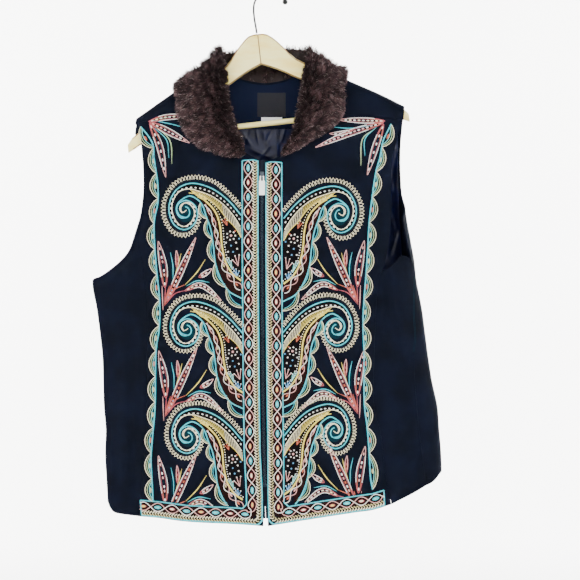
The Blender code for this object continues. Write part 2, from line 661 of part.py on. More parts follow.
def collar(fur):
    """Roll collar: its underside lies on the cloth, its top rolls from the neck to the outer edge."""
    stations = [dict(zip(COLLAR_COLUMNS, row)) for row in COLLAR]
    half = COLLAR_THICK / 2
    inner = wrap_line(stations, "in_x", "in_z", "in_side")
    outer = wrap_line(stations, "out_x", "out_z", "out_side")
    crest = []
    for s in stations:
        if s["crest_y"] is None:
            crest.append(skin(s["crest_x"], s["crest_z"], -1, -half - COLLAR_LIFT - COLLAR_LOFT))
        else:
            crest.append(np.array((s["crest_x"], s["crest_y"], s["crest_z"]), float))
    bent = [min(abs(a[1]), abs(b[1])) < COLLAR_BEND for a, b in zip(outer, outer[1:])]
    at = [i + k / n for i, close in enumerate(bent) for n in (6 if close else 2,) for k in range(n)]
    at = np.array(at + [len(outer) - 1.0])
    inner, outer, crest = through(inner, at), through(outer, at), through(np.array(crest), at)
    start = above_cloth(inner, half + seat(inner))
    end = above_cloth(outer, half + seat(outer))
    w = np.linspace(0, 1, COLLAR_ACROSS + 1)[:, None]
    loops = []
    for k in range(len(at)):
        under = (1 - w) * inner[k] + w * outer[k]
        low = above_cloth(under, seat(under))
        knee = 2 * crest[k] - (start[k] + end[k]) / 2
        spine = (1 - w)**2 * start[k] + 2 * w * (1 - w) * knee + w**2 * end[k]
        rise = spine - low
        height = np.linalg.norm(rise, axis=1, keepdims=True)
        taper = min(1.0, COLLAR_TIP + (1 - COLLAR_TIP) * min(k, len(at) - 1 - k) / 3)
        profile = half * taper * np.sqrt(1 - COLLAR_EDGE * (2 * w - 1)**6)
        loops.append(np.vstack((spine + rise / height * profile, low[::-1])))
    loft("collar", loops, fur, 60)


def on_hanger(u, v):
    """Hanger axes (out, down from the crown) to the part's x and z."""
    c, s = math.cos(HANGER_TILT), math.sin(HANGER_TILT)
    return CROWN[0] + u * c + v * s, CROWN[1] + u * s - v * c


def arm_section(top, foot):
    """Upright section of an arm: a round top, straight sides and softened lower corners."""
    half = ARM_THICK / 2
    points = [(half * math.cos(a), top + half - half * math.sin(a))
              for a in np.linspace(math.pi, 0, 7)]
    points += [(half, foot - ARM_CORNER), (half - ARM_CORNER, foot), (ARM_CORNER - half, foot),
               (-half, foot - ARM_CORNER)]
    return points


def hanger(wood, steel):
    for name, sign in (("hanger_arm_left", -1), ("hanger_arm_right", 1)):
        loops = []
        for row in ARM:
            at = dict(zip(ARM_COLUMNS, row))
            loop = []
            for y, v in arm_section(at["top"], max(at["foot"], at["top"] + ARM_THICK)):
                x, z = on_hanger(sign * at["out"], v)
                loop.append((x, y, z))
            loops.append(np.array(loop))
        loft(name, loops, wood, 50)
    bar(wood)
    hook(steel)


def bar(wood):
    """Trouser bar between the arms, its ends cut to their lower edges."""
    loops = []
    for side in (-1, 1):
        ring = []
        for k in range(12):
            a = 2 * math.pi * k / 12
            v = BAR_DROP + BAR_RADIUS * math.cos(a)
            reach = read(ARM, ARM_COLUMNS, "out", v, "foot") - BAR_SEAT
            x, z = on_hanger(side * reach, v)
            ring.append((x, BAR_RADIUS * math.sin(a), z))
        loops.append(np.array(ring))
    loft("hanger_bar", loops, wood, 50)


def hook(steel):
    """Bent wire with a ball end."""
    centre = np.array((0.0, -(HOOK_RADIUS - HOOK_WIRE / 2)))
    path = [np.array(p, float) for p in HOOK_STEM]
    for k in range(14):
        a = math.radians(184 - (184 - 30) * k / 13)
        path.append(centre + HOOK_RADIUS * np.array((math.cos(a), math.sin(a))))
    path = spline(np.array(path), 30)
    radii = np.full(len(path), HOOK_WIRE / 2)
    tip = path[-1] - path[-2]
    tip /= np.linalg.norm(tip)
    ball = [(math.cos(a), math.sin(a)) for a in np.radians((158, 130, 100, 70, 40, 12))]
    centres = [path[-1] + tip * (HOOK_BALL + HOOK_BALL * c) for c, _ in ball]
    path = np.vstack((path, centres))
    radii = np.concatenate((radii, [HOOK_BALL * s for _, s in ball]))
    loops = []
    for k, p in enumerate(path):
        way = tip if k >= 30 else path[k + 1] - path[max(k - 1, 0)]
        way = way / np.linalg.norm(way)
        side = np.array((-way[1], way[0]))
        loops.append(np.array([(p[0] + side[0] * radii[k] * math.cos(a), radii[k] * math.sin(a),
                                p[1] + side[1] * radii[k] * math.cos(a))
                               for a in np.linspace(0, 2 * math.pi, 8, endpoint=False)]))
    loft("hanger_hook", loops, steel, 60)


def build():
    for thing in list(bpy.data.objects):
        bpy.data.objects.remove(thing)
    felt = material("navy_felted_wool", (0.006, 0.009, 0.024), 0.9)
    satin = material("navy_satin", (0.012, 0.016, 0.04), 0.35)
    fur = material("brown_faux_fur", (0.025, 0.012, 0.01), 0.9)
    tape = material("navy_zip_tape", (0.006, 0.009, 0.022), 0.8)
    metal = material("dark_zip_metal", (0.08, 0.08, 0.09), 0.35, 1.0)
    white = material("silver_pull", (0.75, 0.76, 0.76), 0.3, 1.0)
    label = material("grey_label", (0.06, 0.06, 0.07), 0.7)
    care = material("white_label", (0.7, 0.7, 0.7), 0.7)
    wood = material("pale_beech", (0.82, 0.68, 0.42), 0.45)
    steel = material("dark_steel_wire", (0.1, 0.1, 0.1), 0.35, 1.0)
    fronts(felt)
    back_panel(felt)
    inner_layers(felt, satin, label, care)
    zip_parts(tape, metal, white)
    collar(fur)
    hanger(wood, steel)


build()
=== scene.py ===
# %% [markdown]
# # An embroidered felt vest on its wooden hanger
#
# The real thing is a zip vest of dark navy felted wool. Each front carries three paisleys and leaf
# sprays worked in coloured thread, and the neck has a roll collar of brown faux fur. We load the
# rigid frame first, because every piece below is placed by it. All tables are in millimetres.

# %% Load the frame
import math

import bmesh
import bpy
import numpy as np
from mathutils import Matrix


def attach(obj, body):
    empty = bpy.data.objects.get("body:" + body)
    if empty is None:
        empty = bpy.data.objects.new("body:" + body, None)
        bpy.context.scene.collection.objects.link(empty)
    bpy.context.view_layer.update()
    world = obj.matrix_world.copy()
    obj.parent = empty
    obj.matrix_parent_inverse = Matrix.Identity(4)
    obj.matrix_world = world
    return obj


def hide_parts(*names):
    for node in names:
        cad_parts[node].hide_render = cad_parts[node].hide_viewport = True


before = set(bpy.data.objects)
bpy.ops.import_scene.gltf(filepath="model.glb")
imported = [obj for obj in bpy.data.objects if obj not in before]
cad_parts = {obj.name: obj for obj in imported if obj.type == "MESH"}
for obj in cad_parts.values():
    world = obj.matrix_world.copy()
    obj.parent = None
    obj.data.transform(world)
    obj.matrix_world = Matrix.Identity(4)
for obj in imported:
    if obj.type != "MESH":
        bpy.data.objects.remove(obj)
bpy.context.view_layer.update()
MM = 0.001

# %% [markdown]
# ## Camera, light and floor
#
# The vest was photographed straight from the front, so the camera looks along +Y with a long lens,
# which keeps the panels flat. A floor that curves up into a wall all round gives a plain pale
# ground from every side. Three large soft lamps stand in for a studio's light boxes, and two wash the
# wall behind, so that it stays as bright as the photo's ground.

# %% Camera
VIEW_DISTANCE = 3.6
VIEW_WIDTH = 0.913
VIEW_ACROSS, VIEW_HEIGHT = 0.032, -0.468
SENSOR_MM = 36
camera_data = bpy.data.cameras.new("photo_camera")
camera_data.sensor_width = SENSOR_MM
camera_data.lens = SENSOR_MM * VIEW_DISTANCE / VIEW_WIDTH
camera = bpy.data.objects.new("photo_camera", camera_data)
camera.location = (VIEW_ACROSS, -VIEW_DISTANCE, VIEW_HEIGHT)
camera.rotation_euler = (math.pi / 2, 0, 0)
bpy.context.scene.collection.objects.link(camera)
bpy.context.scene.camera = camera
print("lens", round(camera_data.lens, 1), "mm")

# %% [markdown]
# Colours are written as the codes that a screen uses, and one function turns them to the linear
# values that light adds up in. A finish could be painted on an image, but noise in millimetres stays
# sharp from near and far, so a finish here is a noise between two tones and a noise for the relief.


# %% Colours and nodes
def colour(code):
    """A linear colour from an sRGB hex code."""
    parts = [int(code[i:i + 2], 16) / 255 for i in (1, 3, 5)]
    return [p / 12.92 if p <= 0.04045 else ((p + 0.055) / 1.055)**2.4 for p in parts] + [1.0]


def add_node(tree, kind, settings=None, links=None):
    """Adds a node, sets its fields or sockets, and links other nodes' outputs to its inputs."""
    node = tree.nodes.new(kind)
    for key, value in (settings or {}).items():
        if key in node.inputs:
            node.inputs[key].default_value = value
        else:
            setattr(node, key, value)
    for key, output in (links or {}).items():
        tree.links.new(output, node.inputs[key])
    return node


def new_finish(name, base, roughness, tones=None, relief=None, metallic=0.0, **more):
    """A named material: uniform values on the shader's own sockets, then its patterns.

    A pattern has the size of its tufts in millimetres and a detail, on the object's own coordinates.
    Tones run from dark to light between two levels of the noise, and relief has a depth in millimetres.
    """
    finish = bpy.data.materials.new(name)
    finish.use_nodes = True
    tree = finish.node_tree
    shader = tree.nodes["Principled BSDF"]
    values = {"Base Color": colour(base), "Roughness": roughness, "IOR": 1.5, "Metallic": metallic}
    values.update((key.replace("_", " "), value) for key, value in more.items())
    for key, value in values.items():
        shader.inputs[key].default_value = value
    for pattern in filter(None, (tones, relief)):
        place = add_node(tree, "ShaderNodeTexCoord")
        scaled = add_node(tree, "ShaderNodeMapping", {"Scale": pattern.get("stretch", (1, 1, 1))},
                          {"Vector": place.outputs["Object"]})
        noise = add_node(tree, "ShaderNodeTexNoise",
                         {"Scale": 1 / (pattern["mm"] * MM), "Detail": pattern["detail"]},
                         {"Vector": scaled.outputs["Vector"]})
        if pattern is relief:
            bumps = add_node(tree, "ShaderNodeBump",
                             {"Strength": relief.get("strength", 0.5), "Distance": relief["depth"] * MM},
                             {"Height": noise.outputs["Fac"]})
            tree.links.new(bumps.outputs["Normal"], shader.inputs["Normal"])
        else:
            mixed = add_node(tree, "ShaderNodeValToRGB", links={"Fac": noise.outputs["Fac"]})
            for end, level, code in zip(mixed.color_ramp.elements, tones.get("levels", (0.35, 0.65)),
                                        (tones["dark"], tones["light"])):
                end.position = level
                end.color = colour(code)
            tree.links.new(mixed.outputs["Color"], shader.inputs["Base Color"])
    return finish


print("half grey on a screen is", round(colour("#808080")[0], 3), "of white in linear light")


# %% Lamps and floor
def lamp(name, place, aim, size, power):
    data = bpy.data.lights.new(name, "AREA")
    data.shape = "RECTANGLE"
    data.size, data.size_y = size
    data.energy = power
    thing = bpy.data.objects.new(name, data)
    thing.location = place
    way = np.array(aim, float) - np.array(place, float)
    thing.rotation_euler = (math.acos(-way[2] / np.linalg.norm(way)), 0,
                            math.atan2(way[1], way[0]) - math.pi / 2)
    bpy.context.scene.collection.objects.link(thing)


# place, aim and size in metres, and power in watts
LAMPS = {
    "soft_key": ((-1.5, -2.6, 1.2), (0, 0, -0.4), (1.8, 1.4), 60),
    "soft_fill": ((2.0, -2.6, 0.3), (0, 0, -0.5), (1.6, 1.6), 30),
    "soft_back": ((0.3, 2.6, 1.6), (0, 0, -0.4), (2.0, 1.4), 25),
    "wall_wash_left": ((-2.2, 2.0, 0.9), (-0.2, 4.6, -0.4), (1.6, 1.6), 450),
    "wall_wash_right": ((2.2, 2.0, 0.9), (0.2, 4.6, -0.4), (1.6, 1.6), 450),
}
for name, settings in LAMPS.items():
    lamp(name, *settings)

AIR_LIGHT = 0.75
world = bpy.data.worlds.new("studio_air")
world.use_nodes = True
world.node_tree.nodes["Background"].inputs["Color"].default_value = (1, 1, 1, 1)
world.node_tree.nodes["Background"].inputs["Strength"].default_value = AIR_LIGHT
bpy.context.scene.world = world

FLOOR, FLOOR_RADIUS = -1.15, 3.2
WALL_BEND, WALL_TOP = 1.4, 3.4
TURNS = 72
profile = [(0.0, FLOOR), (FLOOR_RADIUS, FLOOR)]
profile += [(FLOOR_RADIUS + WALL_BEND * math.sin(a), FLOOR + WALL_BEND * (1 - math.cos(a)))
            for a in np.linspace(0.1, math.pi / 2, 14)]
profile += [(FLOOR_RADIUS + WALL_BEND, WALL_TOP)]
points, faces = [], []
for radius, height in profile:
    points += [(radius * math.cos(t), radius * math.sin(t), height)
               for t in np.linspace(0, 2 * math.pi, TURNS, endpoint=False)]
for k in range(len(profile) - 1):
    faces += [(k * TURNS + i, k * TURNS + (i + 1) % TURNS, (k + 1) * TURNS + (i + 1) % TURNS,
               (k + 1) * TURNS + i) for i in range(TURNS)]
floor_mesh = bpy.data.meshes.new("studio_floor")
floor_mesh.from_pydata(points, [], faces)
floor_mesh.shade_smooth()
# uncoated paper scatters all its light, so the ground has no sheen or reflection
floor_mesh.materials.append(new_finish("matt_white_backdrop_paper", "#f7f7f6", 0.95))
floor = bpy.data.objects.new("studio_floor", floor_mesh)
bpy.context.scene.collection.objects.link(floor)
print("floor", round(FLOOR, 2), "m")

# %% [markdown]
# ## The shape of the cloth
#
# The vest hangs from a ridge, the line of the hanger's arms, and its body is a soft tube that is
# pinched flat on the left and rounder on the right. A cutter would drape it; here a table gives the
# outline and fullness at each height, and one function gives a point on the outer face. Everything
# that lies on the cloth is made from the same function, moved out a little, so it follows each fold.

# %% Tables of the hanging shape
CLOTH = 2.4
SEAM_PULL = 0.25
SHOULDER_ROUND = 12.0
SHOULDER_DROP = 130.0
WRAP_WIDTH = 330.0
SIDE_PINCH = 2.7
SIDE_PINCH_SPAN = 0.25
LEFT_POWER = 2.4
RIGHT_POWER = 9.0

OUTLINE_COLUMNS = ("height", "left", "right", "front", "back")
OUTLINE = (
    (-60, -214, 226, 24, 20),
    (-200, -216, 221, 27, 22),
    (-250, -224, 214, 32, 26),
    (-300, -238, 212, 37, 29),
    (-350, -252, 215, 41, 31),
    (-390, -264, 222, 43, 32),
    (-424, -274, 228, 43, 32),
    (-452, -279, 231, 42, 31),
    (-499, -272, 240, 40, 29),
    (-537, -267, 245, 38, 28),
    (-575, -263, 250, 37, 28),
    (-613, -262, 256, 36, 29),
    (-650, -261, 264, 36, 30),
    (-688, -258, 267, 36, 31),
    (-726, -259, 270, 37, 32),
    (-764, -257, 271, 38, 33),
    (-802, -255, 270, 39, 34),
    (-850, -253, 270, 40, 35),
)
RIDGE_COLUMNS = ("across", "height")
RIDGE = (
    (-260, -232), (-211, -199), (-154, -159), (-70, -104), (-21, -82),
    (53, -105), (90, -122.2), (124, -138.2), (174, -160), (220, -183), (260, -203),
)
print(len(OUTLINE), "heights,", len(RIDGE), "ridge points")

# %% [markdown]
# Folds are short lines with a width and a height: the larger ones are in the frame already, and the
# smaller creases below are only what the eye sees up close. Felt is thick, so they stay soft.

# %% Folds and creases
FOLD_COLUMNS = ("side", "x0", "z0", "x1", "z1", "width", "height")
FOLDS = (
    (-1, 176, -436, 201, -589, 8, -7),
    (-1, 203, -440, 207, -560, 15, 4),
    (-1, 253, -672, 206, -735, 13, -6),
    (-1, 250, -716, 198, -764, 13, 4),
    (-1, -215, -419, -220, -495, 11, 4),
    (-1, -228, -562, -225, -783, 12, 4),
    (-1, -150, -600, -160, -800, 22, -3),
    (1, -90, -420, -112, -790, 26, 4),
    (1, 60, -400, 82, -780, 24, -4),
    (1, 150, -480, 172, -760, 17, 4),
)
CREASES = (
    (-1, 168, -430, 188, -560, 4, -1.6),
    (-1, 188, -470, 196, -600, 5, 1.4),
    (-1, 222, -640, 196, -700, 6, -1.5),
    (-1, 240, -600, 238, -700, 6, 1.2),
    (-1, 215, -560, 214, -640, 5, 1.2),
    (-1, -205, -520, -210, -640, 6, 1.3),
    (-1, -245, -500, -243, -640, 6, -1.2),
    (-1, -240, -660, -238, -790, 6, 1.3),
    (-1, -212, -640, -214, -800, 5, -1.2),
    (-1, -120, -300, -40, -275, 14, -1.0),
    (-1, 40, -280, 150, -300, 14, -1.0),
    (-1, -100, -820, -60, -800, 16, 1.2),
    (-1, -190, -205, -150, -320, 9, 1.0),
    (1, -60, -250, -20, -420, 16, -1.6),
    (1, -150, -300, -160, -480, 14, 1.6),
    (1, 120, -260, 100, -420, 15, 1.5),
    (1, 10, -500, 0, -780, 12, -1.4),
    (1, -190, -560, -205, -780, 10, -1.6),
    (1, 215, -520, 225, -730, 9, 1.4),
)
FOLD_FADE = (25, 50, 90)
print(len(FOLDS), "folds and", len(CREASES), "creases")


# %% Reading the tables
def read(table, columns, name, at, by):
    """A smooth reading of one named column of a table along another."""
    rows = sorted(table, key=lambda row: row[columns.index(by)])
    keys = np.array([row[columns.index(by)] for row in rows], float)
    values = np.array([row[columns.index(name)] for row in rows], float)
    slopes = np.gradient(values, keys)
    at = np.clip(at, keys[0], keys[-1])
    i = np.clip(np.searchsorted(keys, at) - 1, 0, len(keys) - 2)
    span = keys[i + 1] - keys[i]
    t = (at - keys[i]) / span
    return ((2 * t**3 - 3 * t**2 + 1) * values[i] + (t**3 - 2 * t**2 + t) * span * slopes[i]
            + (3 * t**2 - 2 * t**3) * values[i + 1] + (t**3 - t**2) * span * slopes[i + 1])


def outline(name, z):
    return read(OUTLINE, OUTLINE_COLUMNS, name, z, "height")


def ridge(x):
    return read(RIDGE, RIDGE_COLUMNS, "height", x, "across")


def smooth(t):
    t = np.clip(t, 0, 1)
    return t * t * (3 - 2 * t)


def across(x, z):
    """Place across the outline, from -1 at the left edge to 1 at the right edge."""
    left = outline("left", z)
    right = outline("right", z)
    return np.clip((2 * x - left - right) / (right - left), -1, 1)


print("the ridge over the zip lies at", round(float(ridge(0.0)), 1), "mm")


# %% Folds and the outer face
def raised(x, z, fold, reach, head, foot):
    """Height of one fold, which fades in over its head and out over its foot, past both its ends."""
    run = np.array((fold["x1"] - fold["x0"], fold["z1"] - fold["z0"]), float)
    length = np.hypot(*run)
    along = ((x - fold["x0"]) * run[0] + (z - fold["z0"]) * run[1]) / length
    off = ((x - fold["x0"]) * run[1] - (z - fold["z0"]) * run[0]) / length
    ends = smooth((along + reach) / head) * smooth((length + reach - along) / foot)
    return fold["height"] * ends * np.exp(-(off / fold["width"])**2)


def folds(x, z, side):
    total = np.zeros_like(x + z)
    for row in FOLDS + CREASES:
        fold = dict(zip(FOLD_COLUMNS, row))
        total = total + (side == fold["side"]) * raised(x, z, fold, *FOLD_FADE)
    return total


def depth_squared(x, z, side):
    """Square of the cloth's distance from the middle plane, on the front or the back."""
    q = across(x, z)
    full = np.where(side < 0, outline("front", z), outline("back", z))
    left = 1 - np.abs(q)**LEFT_POWER
    right = np.sqrt(np.maximum(1 - np.abs(q)**RIGHT_POWER, 0))
    pinch = SIDE_PINCH * np.clip(1 - (1 + q) / SIDE_PINCH_SPAN, 0, 1)**2
    hang = np.where(q < 0, full * left + pinch, full * right)
    drop = np.maximum(ridge(x) - z, 0)
    cap = np.maximum(1 - np.maximum(1 - drop / SHOULDER_ROUND, 0)**2, 0)
    depth = SHOULDER_ROUND + (hang - SHOULDER_ROUND) * smooth(drop / SHOULDER_DROP)
    closed = np.where(q > 0, right, 1.0)
    return cap * (depth + folds(x, z, side) * closed)**2


SLOPE_STEP = 0.2


def skin(x, z, side, inward=0.0):
    """Points of the cloth's outer face, moved inward along its normal."""
    x, z, side = np.broadcast_arrays(np.asarray(x, float), np.asarray(z, float), np.asarray(side))
    z = np.minimum(z, ridge(x))
    y = side * np.sqrt(depth_squared(x, z, side))
    step = SLOPE_STEP
    nx = -(depth_squared(x + step, z, side) - depth_squared(x - step, z, side)) / (4 * step)
    nz = -(depth_squared(x, z + step, side) - depth_squared(x, z - step, side)) / (4 * step)
    normal = np.stack((nx, y, nz), -1)
    normal /= np.maximum(np.linalg.norm(normal, axis=-1, keepdims=True), 1e-9)
    return np.stack((x, y, z), -1) - normal * np.asarray(inward)[..., None]


print("a point on the chest:", skin(0.0, -400.0, -1).round(1))


# %% Curves and patches
SPAN_STEPS = 12


def way_along(line):
    """Distance from a line's start to each of its points."""
    return np.concatenate(((0,), np.cumsum(np.linalg.norm(np.diff(line, axis=0), axis=1))))


def blend_four(a, b, c, d, t):
    """A smooth way from b to c that also heeds the points before and after."""
    return 0.5 * (2 * b + (c - a) * t + (2 * a - 5 * b + 4 * c - d) * t**2 + (3 * b - a - 3 * c + d) * t**3)


def spline(points, count):
    """Evenly spaced points along a smooth curve through the given ones."""
    p = np.array(points, float)
    p = np.vstack((2 * p[0] - p[1], p, 2 * p[-1] - p[-2]))
    t = np.linspace(0, 1, SPAN_STEPS, endpoint=False)[:, None]
    dense = [blend_four(*p[i - 1:i + 3], t) for i in range(1, len(p) - 2)]
    dense = np.vstack(dense + [p[-2:-1]])
    run = way_along(dense)
    at = np.linspace(0, run[-1], count + 1)
    return np.stack([np.interp(at, run, dense[:, k]) for k in range(dense.shape[1])], -1)


def join(*curves):
    return np.vstack([curves[0]] + [c[1:] for c in curves[1:]])


def patch(top, bottom, left, right):
    """Grid of points between four edge curves that meet at their ends."""
    u = np.linspace(0, 1, len(top))[None, :, None]
    v = np.linspace(0, 1, len(left))[:, None, None]
    rows = (1 - v) * top[None] + v * bottom[None]
    columns = (1 - u) * left[:, None] + u * right[:, None]
    corners = ((1 - u) * (1 - v) * top[0] + u * (1 - v) * top[-1]
               + (1 - u) * v * bottom[0] + u * v * bottom[-1])
    return rows + columns - corners


print("curve check:", spline(((0, 0), (10, 5), (20, 0)), 4).round(1).tolist())


# %% Way round the body and over the shoulder
def arc_of(drop):
    """Way along the cloth from the ridge for a drop below it."""
    near = np.minimum(np.abs(drop), SHOULDER_ROUND)
    bend = SHOULDER_ROUND * np.arccos(1 - near / SHOULDER_ROUND)
    return np.sign(drop) * (bend + np.maximum(np.abs(drop) - SHOULDER_ROUND, 0))


def drop_of(arc):
    quarter = SHOULDER_ROUND * math.pi / 2
    near = np.minimum(np.abs(arc), quarter)
    bend = SHOULDER_ROUND * (1 - np.cos(near / SHOULDER_ROUND))
    return np.sign(arc) * (bend + np.maximum(np.abs(arc) - quarter, 0))


LOW_SHARE = 0.9
WRAP_GUESS = (220, -300.0)
WRAP_PASSES = 30


def to_wrap(points):
    """Turn (x, z, side) into a place round the body and a way down, negative over the shoulder."""
    x, z, side = points[:, 0], np.minimum(points[:, 1], ridge(points[:, 0])), points[:, 2]
    turn = np.arcsin(across(x, z)) / (math.pi / 2)
    low = ridge(x) - z > SHOULDER_DROP * LOW_SHARE
    turn = np.where(low & (side < 0), 2 - turn, turn)
    drop = (ridge(x) - z) * np.where(~low & (side < 0), -1, 1)
    return np.stack((turn * WRAP_WIDTH, arc_of(drop)), -1)


def from_wrap(wrap):
    """The same way back, found by going to and fro between the outline and the ridge."""
    turn, drop = wrap[..., 0] / WRAP_WIDTH, drop_of(wrap[..., 1])
    side = np.where((turn > 1) | (drop < 0), -1, 1)
    q = np.sin(turn * math.pi / 2)
    x, z = q * WRAP_GUESS[0], np.full_like(turn, WRAP_GUESS[1])
    for _ in range(WRAP_PASSES):
        left = outline("left", z)
        right = outline("right", z)
        x = (left + right) / 2 + q * (right - left) / 2
        z = 0.5 * z + 0.5 * (ridge(x) - np.abs(drop))
    return x, z, side


print("a quarter turn over the shoulder:", round(float(arc_of(SHOULDER_ROUND)), 1), "mm")


# %% Mesh helpers
def add_piece(name, points, faces, finishes, body="root", marks=None, sharp=50, closed=True):
    """A mesh in millimetres as a piece that rides on a body; marks pick a finish for each face."""
    mesh = bpy.data.meshes.new(name)
    mesh.from_pydata((np.asarray(points, float) * MM).tolist(), [], faces)
    if closed:
        form = bmesh.new()
        form.from_mesh(mesh)
        bmesh.ops.recalc_face_normals(form, faces=form.faces)
        form.to_mesh(mesh)
        form.free()
    for finish in finishes if isinstance(finishes, (list, tuple)) else [finishes]:
        mesh.materials.append(finish)
    if marks is not None:
        mesh.polygons.foreach_set("material_index", np.asarray(marks, np.int32))
    mesh.shade_smooth()
    mesh.set_sharp_from_angle(angle=math.radians(sharp))
    thing = bpy.data.objects.new(name, mesh)
    bpy.context.scene.collection.objects.link(thing)
    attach(thing, body)
    return thing


def rim_of(rows, columns):
    """Places round the edge of a grid, in order."""
    return ([(0, i) for i in range(columns)] + [(j, columns - 1) for j in range(1, rows)]
            + [(rows - 1, i) for i in range(columns - 2, -1, -1)] + [(j, 0) for j in range(rows - 2, 0, -1)])


def wall(name, outer, inner, finish):
    """A sheet with thickness between two grids of the same size."""
    rows, columns = outer.shape[:2]
    count = rows * columns
    faces = []
    for j in range(rows - 1):
        for i in range(columns - 1):
            a, b = j * columns + i, j * columns + i + 1
            c, d = b + columns, a + columns
            faces.append((a, d, c, b))
            faces.append((d + count, a + count, b + count, c + count))
    rim = rim_of(rows, columns)
    for k, (j, i) in enumerate(rim):
        j2, i2 = rim[(k + 1) % len(rim)]
        a, b = j * columns + i, j2 * columns + i2
        faces.append((a, b, b + count, a + count))
    return add_piece(name, np.vstack((outer.reshape(-1, 3), inner.reshape(-1, 3))), faces, finish)


def pull_in(grid, amount=SEAM_PULL):
    """Draw a panel's edges back by the seam gap."""
    g = grid.copy()
    for near in ((0, 1), (-1, -2)):
        way = grid[near[1]] - grid[near[0]]
        g[near[0]] += amount * way / np.maximum(np.linalg.norm(way, axis=-1, keepdims=True), 1e-6)
        way = grid[:, near[1]] - grid[:, near[0]]
        g[:, near[0]] += amount * way / np.maximum(np.linalg.norm(way, axis=-1, keepdims=True), 1e-6)
    return g


print("a grid of 3 by 4 has", len(rim_of(3, 4)), "places round its edge")

# %% [markdown]
# ## The felt panels
#
# A vest like this is cut as two fronts, two narrow side fronts and one back whose shoulders wrap
# forward to the seams. The frame has each panel with few faces. Here each is built again from the
# same edge curves on a grid about three times finer, as a shell 2.4 mm thick, and stands for it.

# %% Edges of the panels in the front view (x, z)
SHOULDER_SEAM_LEFT = ((-211, -207), (-189, -202), (-147, -194), (-110, -182), (-78, -168))
SHOULDER_SEAM_RIGHT = ((61, -181), (114, -192), (180, -198), (210, -202))
NECKLINE_LEFT = ((-78, -168), (-74, -190), (-67, -213), (-56, -235), (-40, -252), (-16, -264.5))
NECKLINE_RIGHT = ((-7.4, -267), (7, -263), (23, -255), (39, -241), (50, -219), (56, -199), (61, -181))
NECKLINE_YOKE_LEFT = ((-78, -168, -1), (-75, -140, -1), (-71, -106, 1))
NECKLINE_BACK = ((-71, -106, 1), (-60, -124, 1), (-40, -136, 1), (-9, -141, 1), (24, -136, 1),
                 (44, -124, 1), (54, -108, 1))
NECKLINE_YOKE_RIGHT = ((54, -108, 1), (58, -140, -1), (61, -181, -1))
ARMHOLE_LEFT = ((-211, -207), (-203, -225), (-201, -250), (-199, -272), (-198, -310),
                (-202, -348), (-209, -373))
ARMHOLE_LEFT_LOW = ((-279, -452), (-261, -443), (-236, -424), (-220, -405), (-209, -373))
ARMHOLE_RIGHT = ((210, -202), (202, -224), (196, -247), (191, -271), (190, -318), (191, -346),
                 (187, -386), (182, -417), (176, -438))
ARMHOLE_RIGHT_LOW = ((176, -438), (187, -433), (196, -424), (206, -414), (220, -420), (230, -448))
PRINCESS_LEFT = ((-209, -373), (-199, -424), (-192, -475), (-190, -530), (-193, -600), (-193, -690),
                 (-198, -750), (-204, -823))
PRINCESS_RIGHT = ((176, -438), (169, -456), (165, -515), (162, -614), (164, -660), (173, -690),
                  (180, -751), (190, -802))
SIDE_SEAM_RIGHT = ((230, -448), (229, -470), (228, -507), (230, -542), (226, -589), (232, -672),
                   (241, -745), (245, -773))
SIDE_SEAM_LEFT_HEIGHTS = (-452, -800)
ZIP_EDGE_LEFT = ((-16, -264.5), (-15.8, -400), (-14.5, -600), (-12.8, -720), (-9.4, -784), (-9.2, -836))
ZIP_EDGE_RIGHT = ((-7.4, -267), (-7.3, -400), (-6, -600), (-4.4, -720), (-4, -784), (-2.6, -836))
HEM_LEFT = ((-204, -823), (-172, -825), (-128, -830), (-53, -833), (-9.2, -836))
HEM_LEFT_SIDE = ((-255, -800), (-250, -812), (-240, -819), (-204, -823))
HEM_RIGHT = ((-2.6, -836), (35, -830), (86, -822), (136, -814.5), (161, -811), (190, -802))
HEM_RIGHT_SIDE = ((190, -802), (224, -785), (245, -773))
HEM_BACK = ((-255, -800, 1), (-236, -812, 1), (-150, -815, 1), (0, -813, 1), (150, -797, 1),
            (230, -772, 1), (262, -757, 1), (268, -755, -1), (245, -773, -1))
ARMHOLE_BACK_LEFT = ((-200, -240, 1), (-196, -275, 1), (-195, -320, 1), (-204, -366, 1),
                     (-222, -409, 1), (-252, -438, 1), (-279, -452, 1))
ARMHOLE_BACK_RIGHT = ((208, -225, 1), (206.5, -252, 1), (207, -290, 1), (210.5, -325, 1),
                      (210, -352, -1), (214, -384, -1), (222, -420, -1), (230, -448, -1))
print("left front, zip to princess seam at the hem:", HEM_LEFT[-1][0] - HEM_LEFT[0][0], "mm")

# %% [markdown]
# Felt is wool beaten until its fibres lock, so it has no weave: it is very matt, with a soft bloom of
# loose fibres at grazing angles. Noise 1.5 mm across stands for the fibre tufts, drawn coarser than
# the real 0.1 mm fibres so that it shows, and a 40 mm noise gives the slight shade of pressing. The
# base colour of each finish shows only where a viewer has no nodes.

# %% Felt
# almost no gloss and a trace of blue sheen, which is what makes it read as wool and not as plastic
felt = new_finish("navy_felted_wool", "#080d1c", 0.95,
                  {"mm": 40, "detail": 3, "dark": "#020510", "light": "#050a1a"},
                  {"mm": 1.5, "detail": 4, "depth": 0.35}, Specular_IOR_Level=0.12,
                  Sheen_Weight=0.02, Sheen_Roughness=0.5, Sheen_Tint=colour("#5a6a9a"))
print("felt finish:", felt.name)


# %% Panel builders
def front_panel(name, top, bottom, left, right):
    plane = patch(top, bottom, left, right)
    x, z = plane[..., 0], plane[..., 1]
    piece = wall(name, pull_in(skin(x, z, -1)), pull_in(skin(x, z, -1, CLOTH)), felt)
    print(name, plane.shape[:2])
    return piece


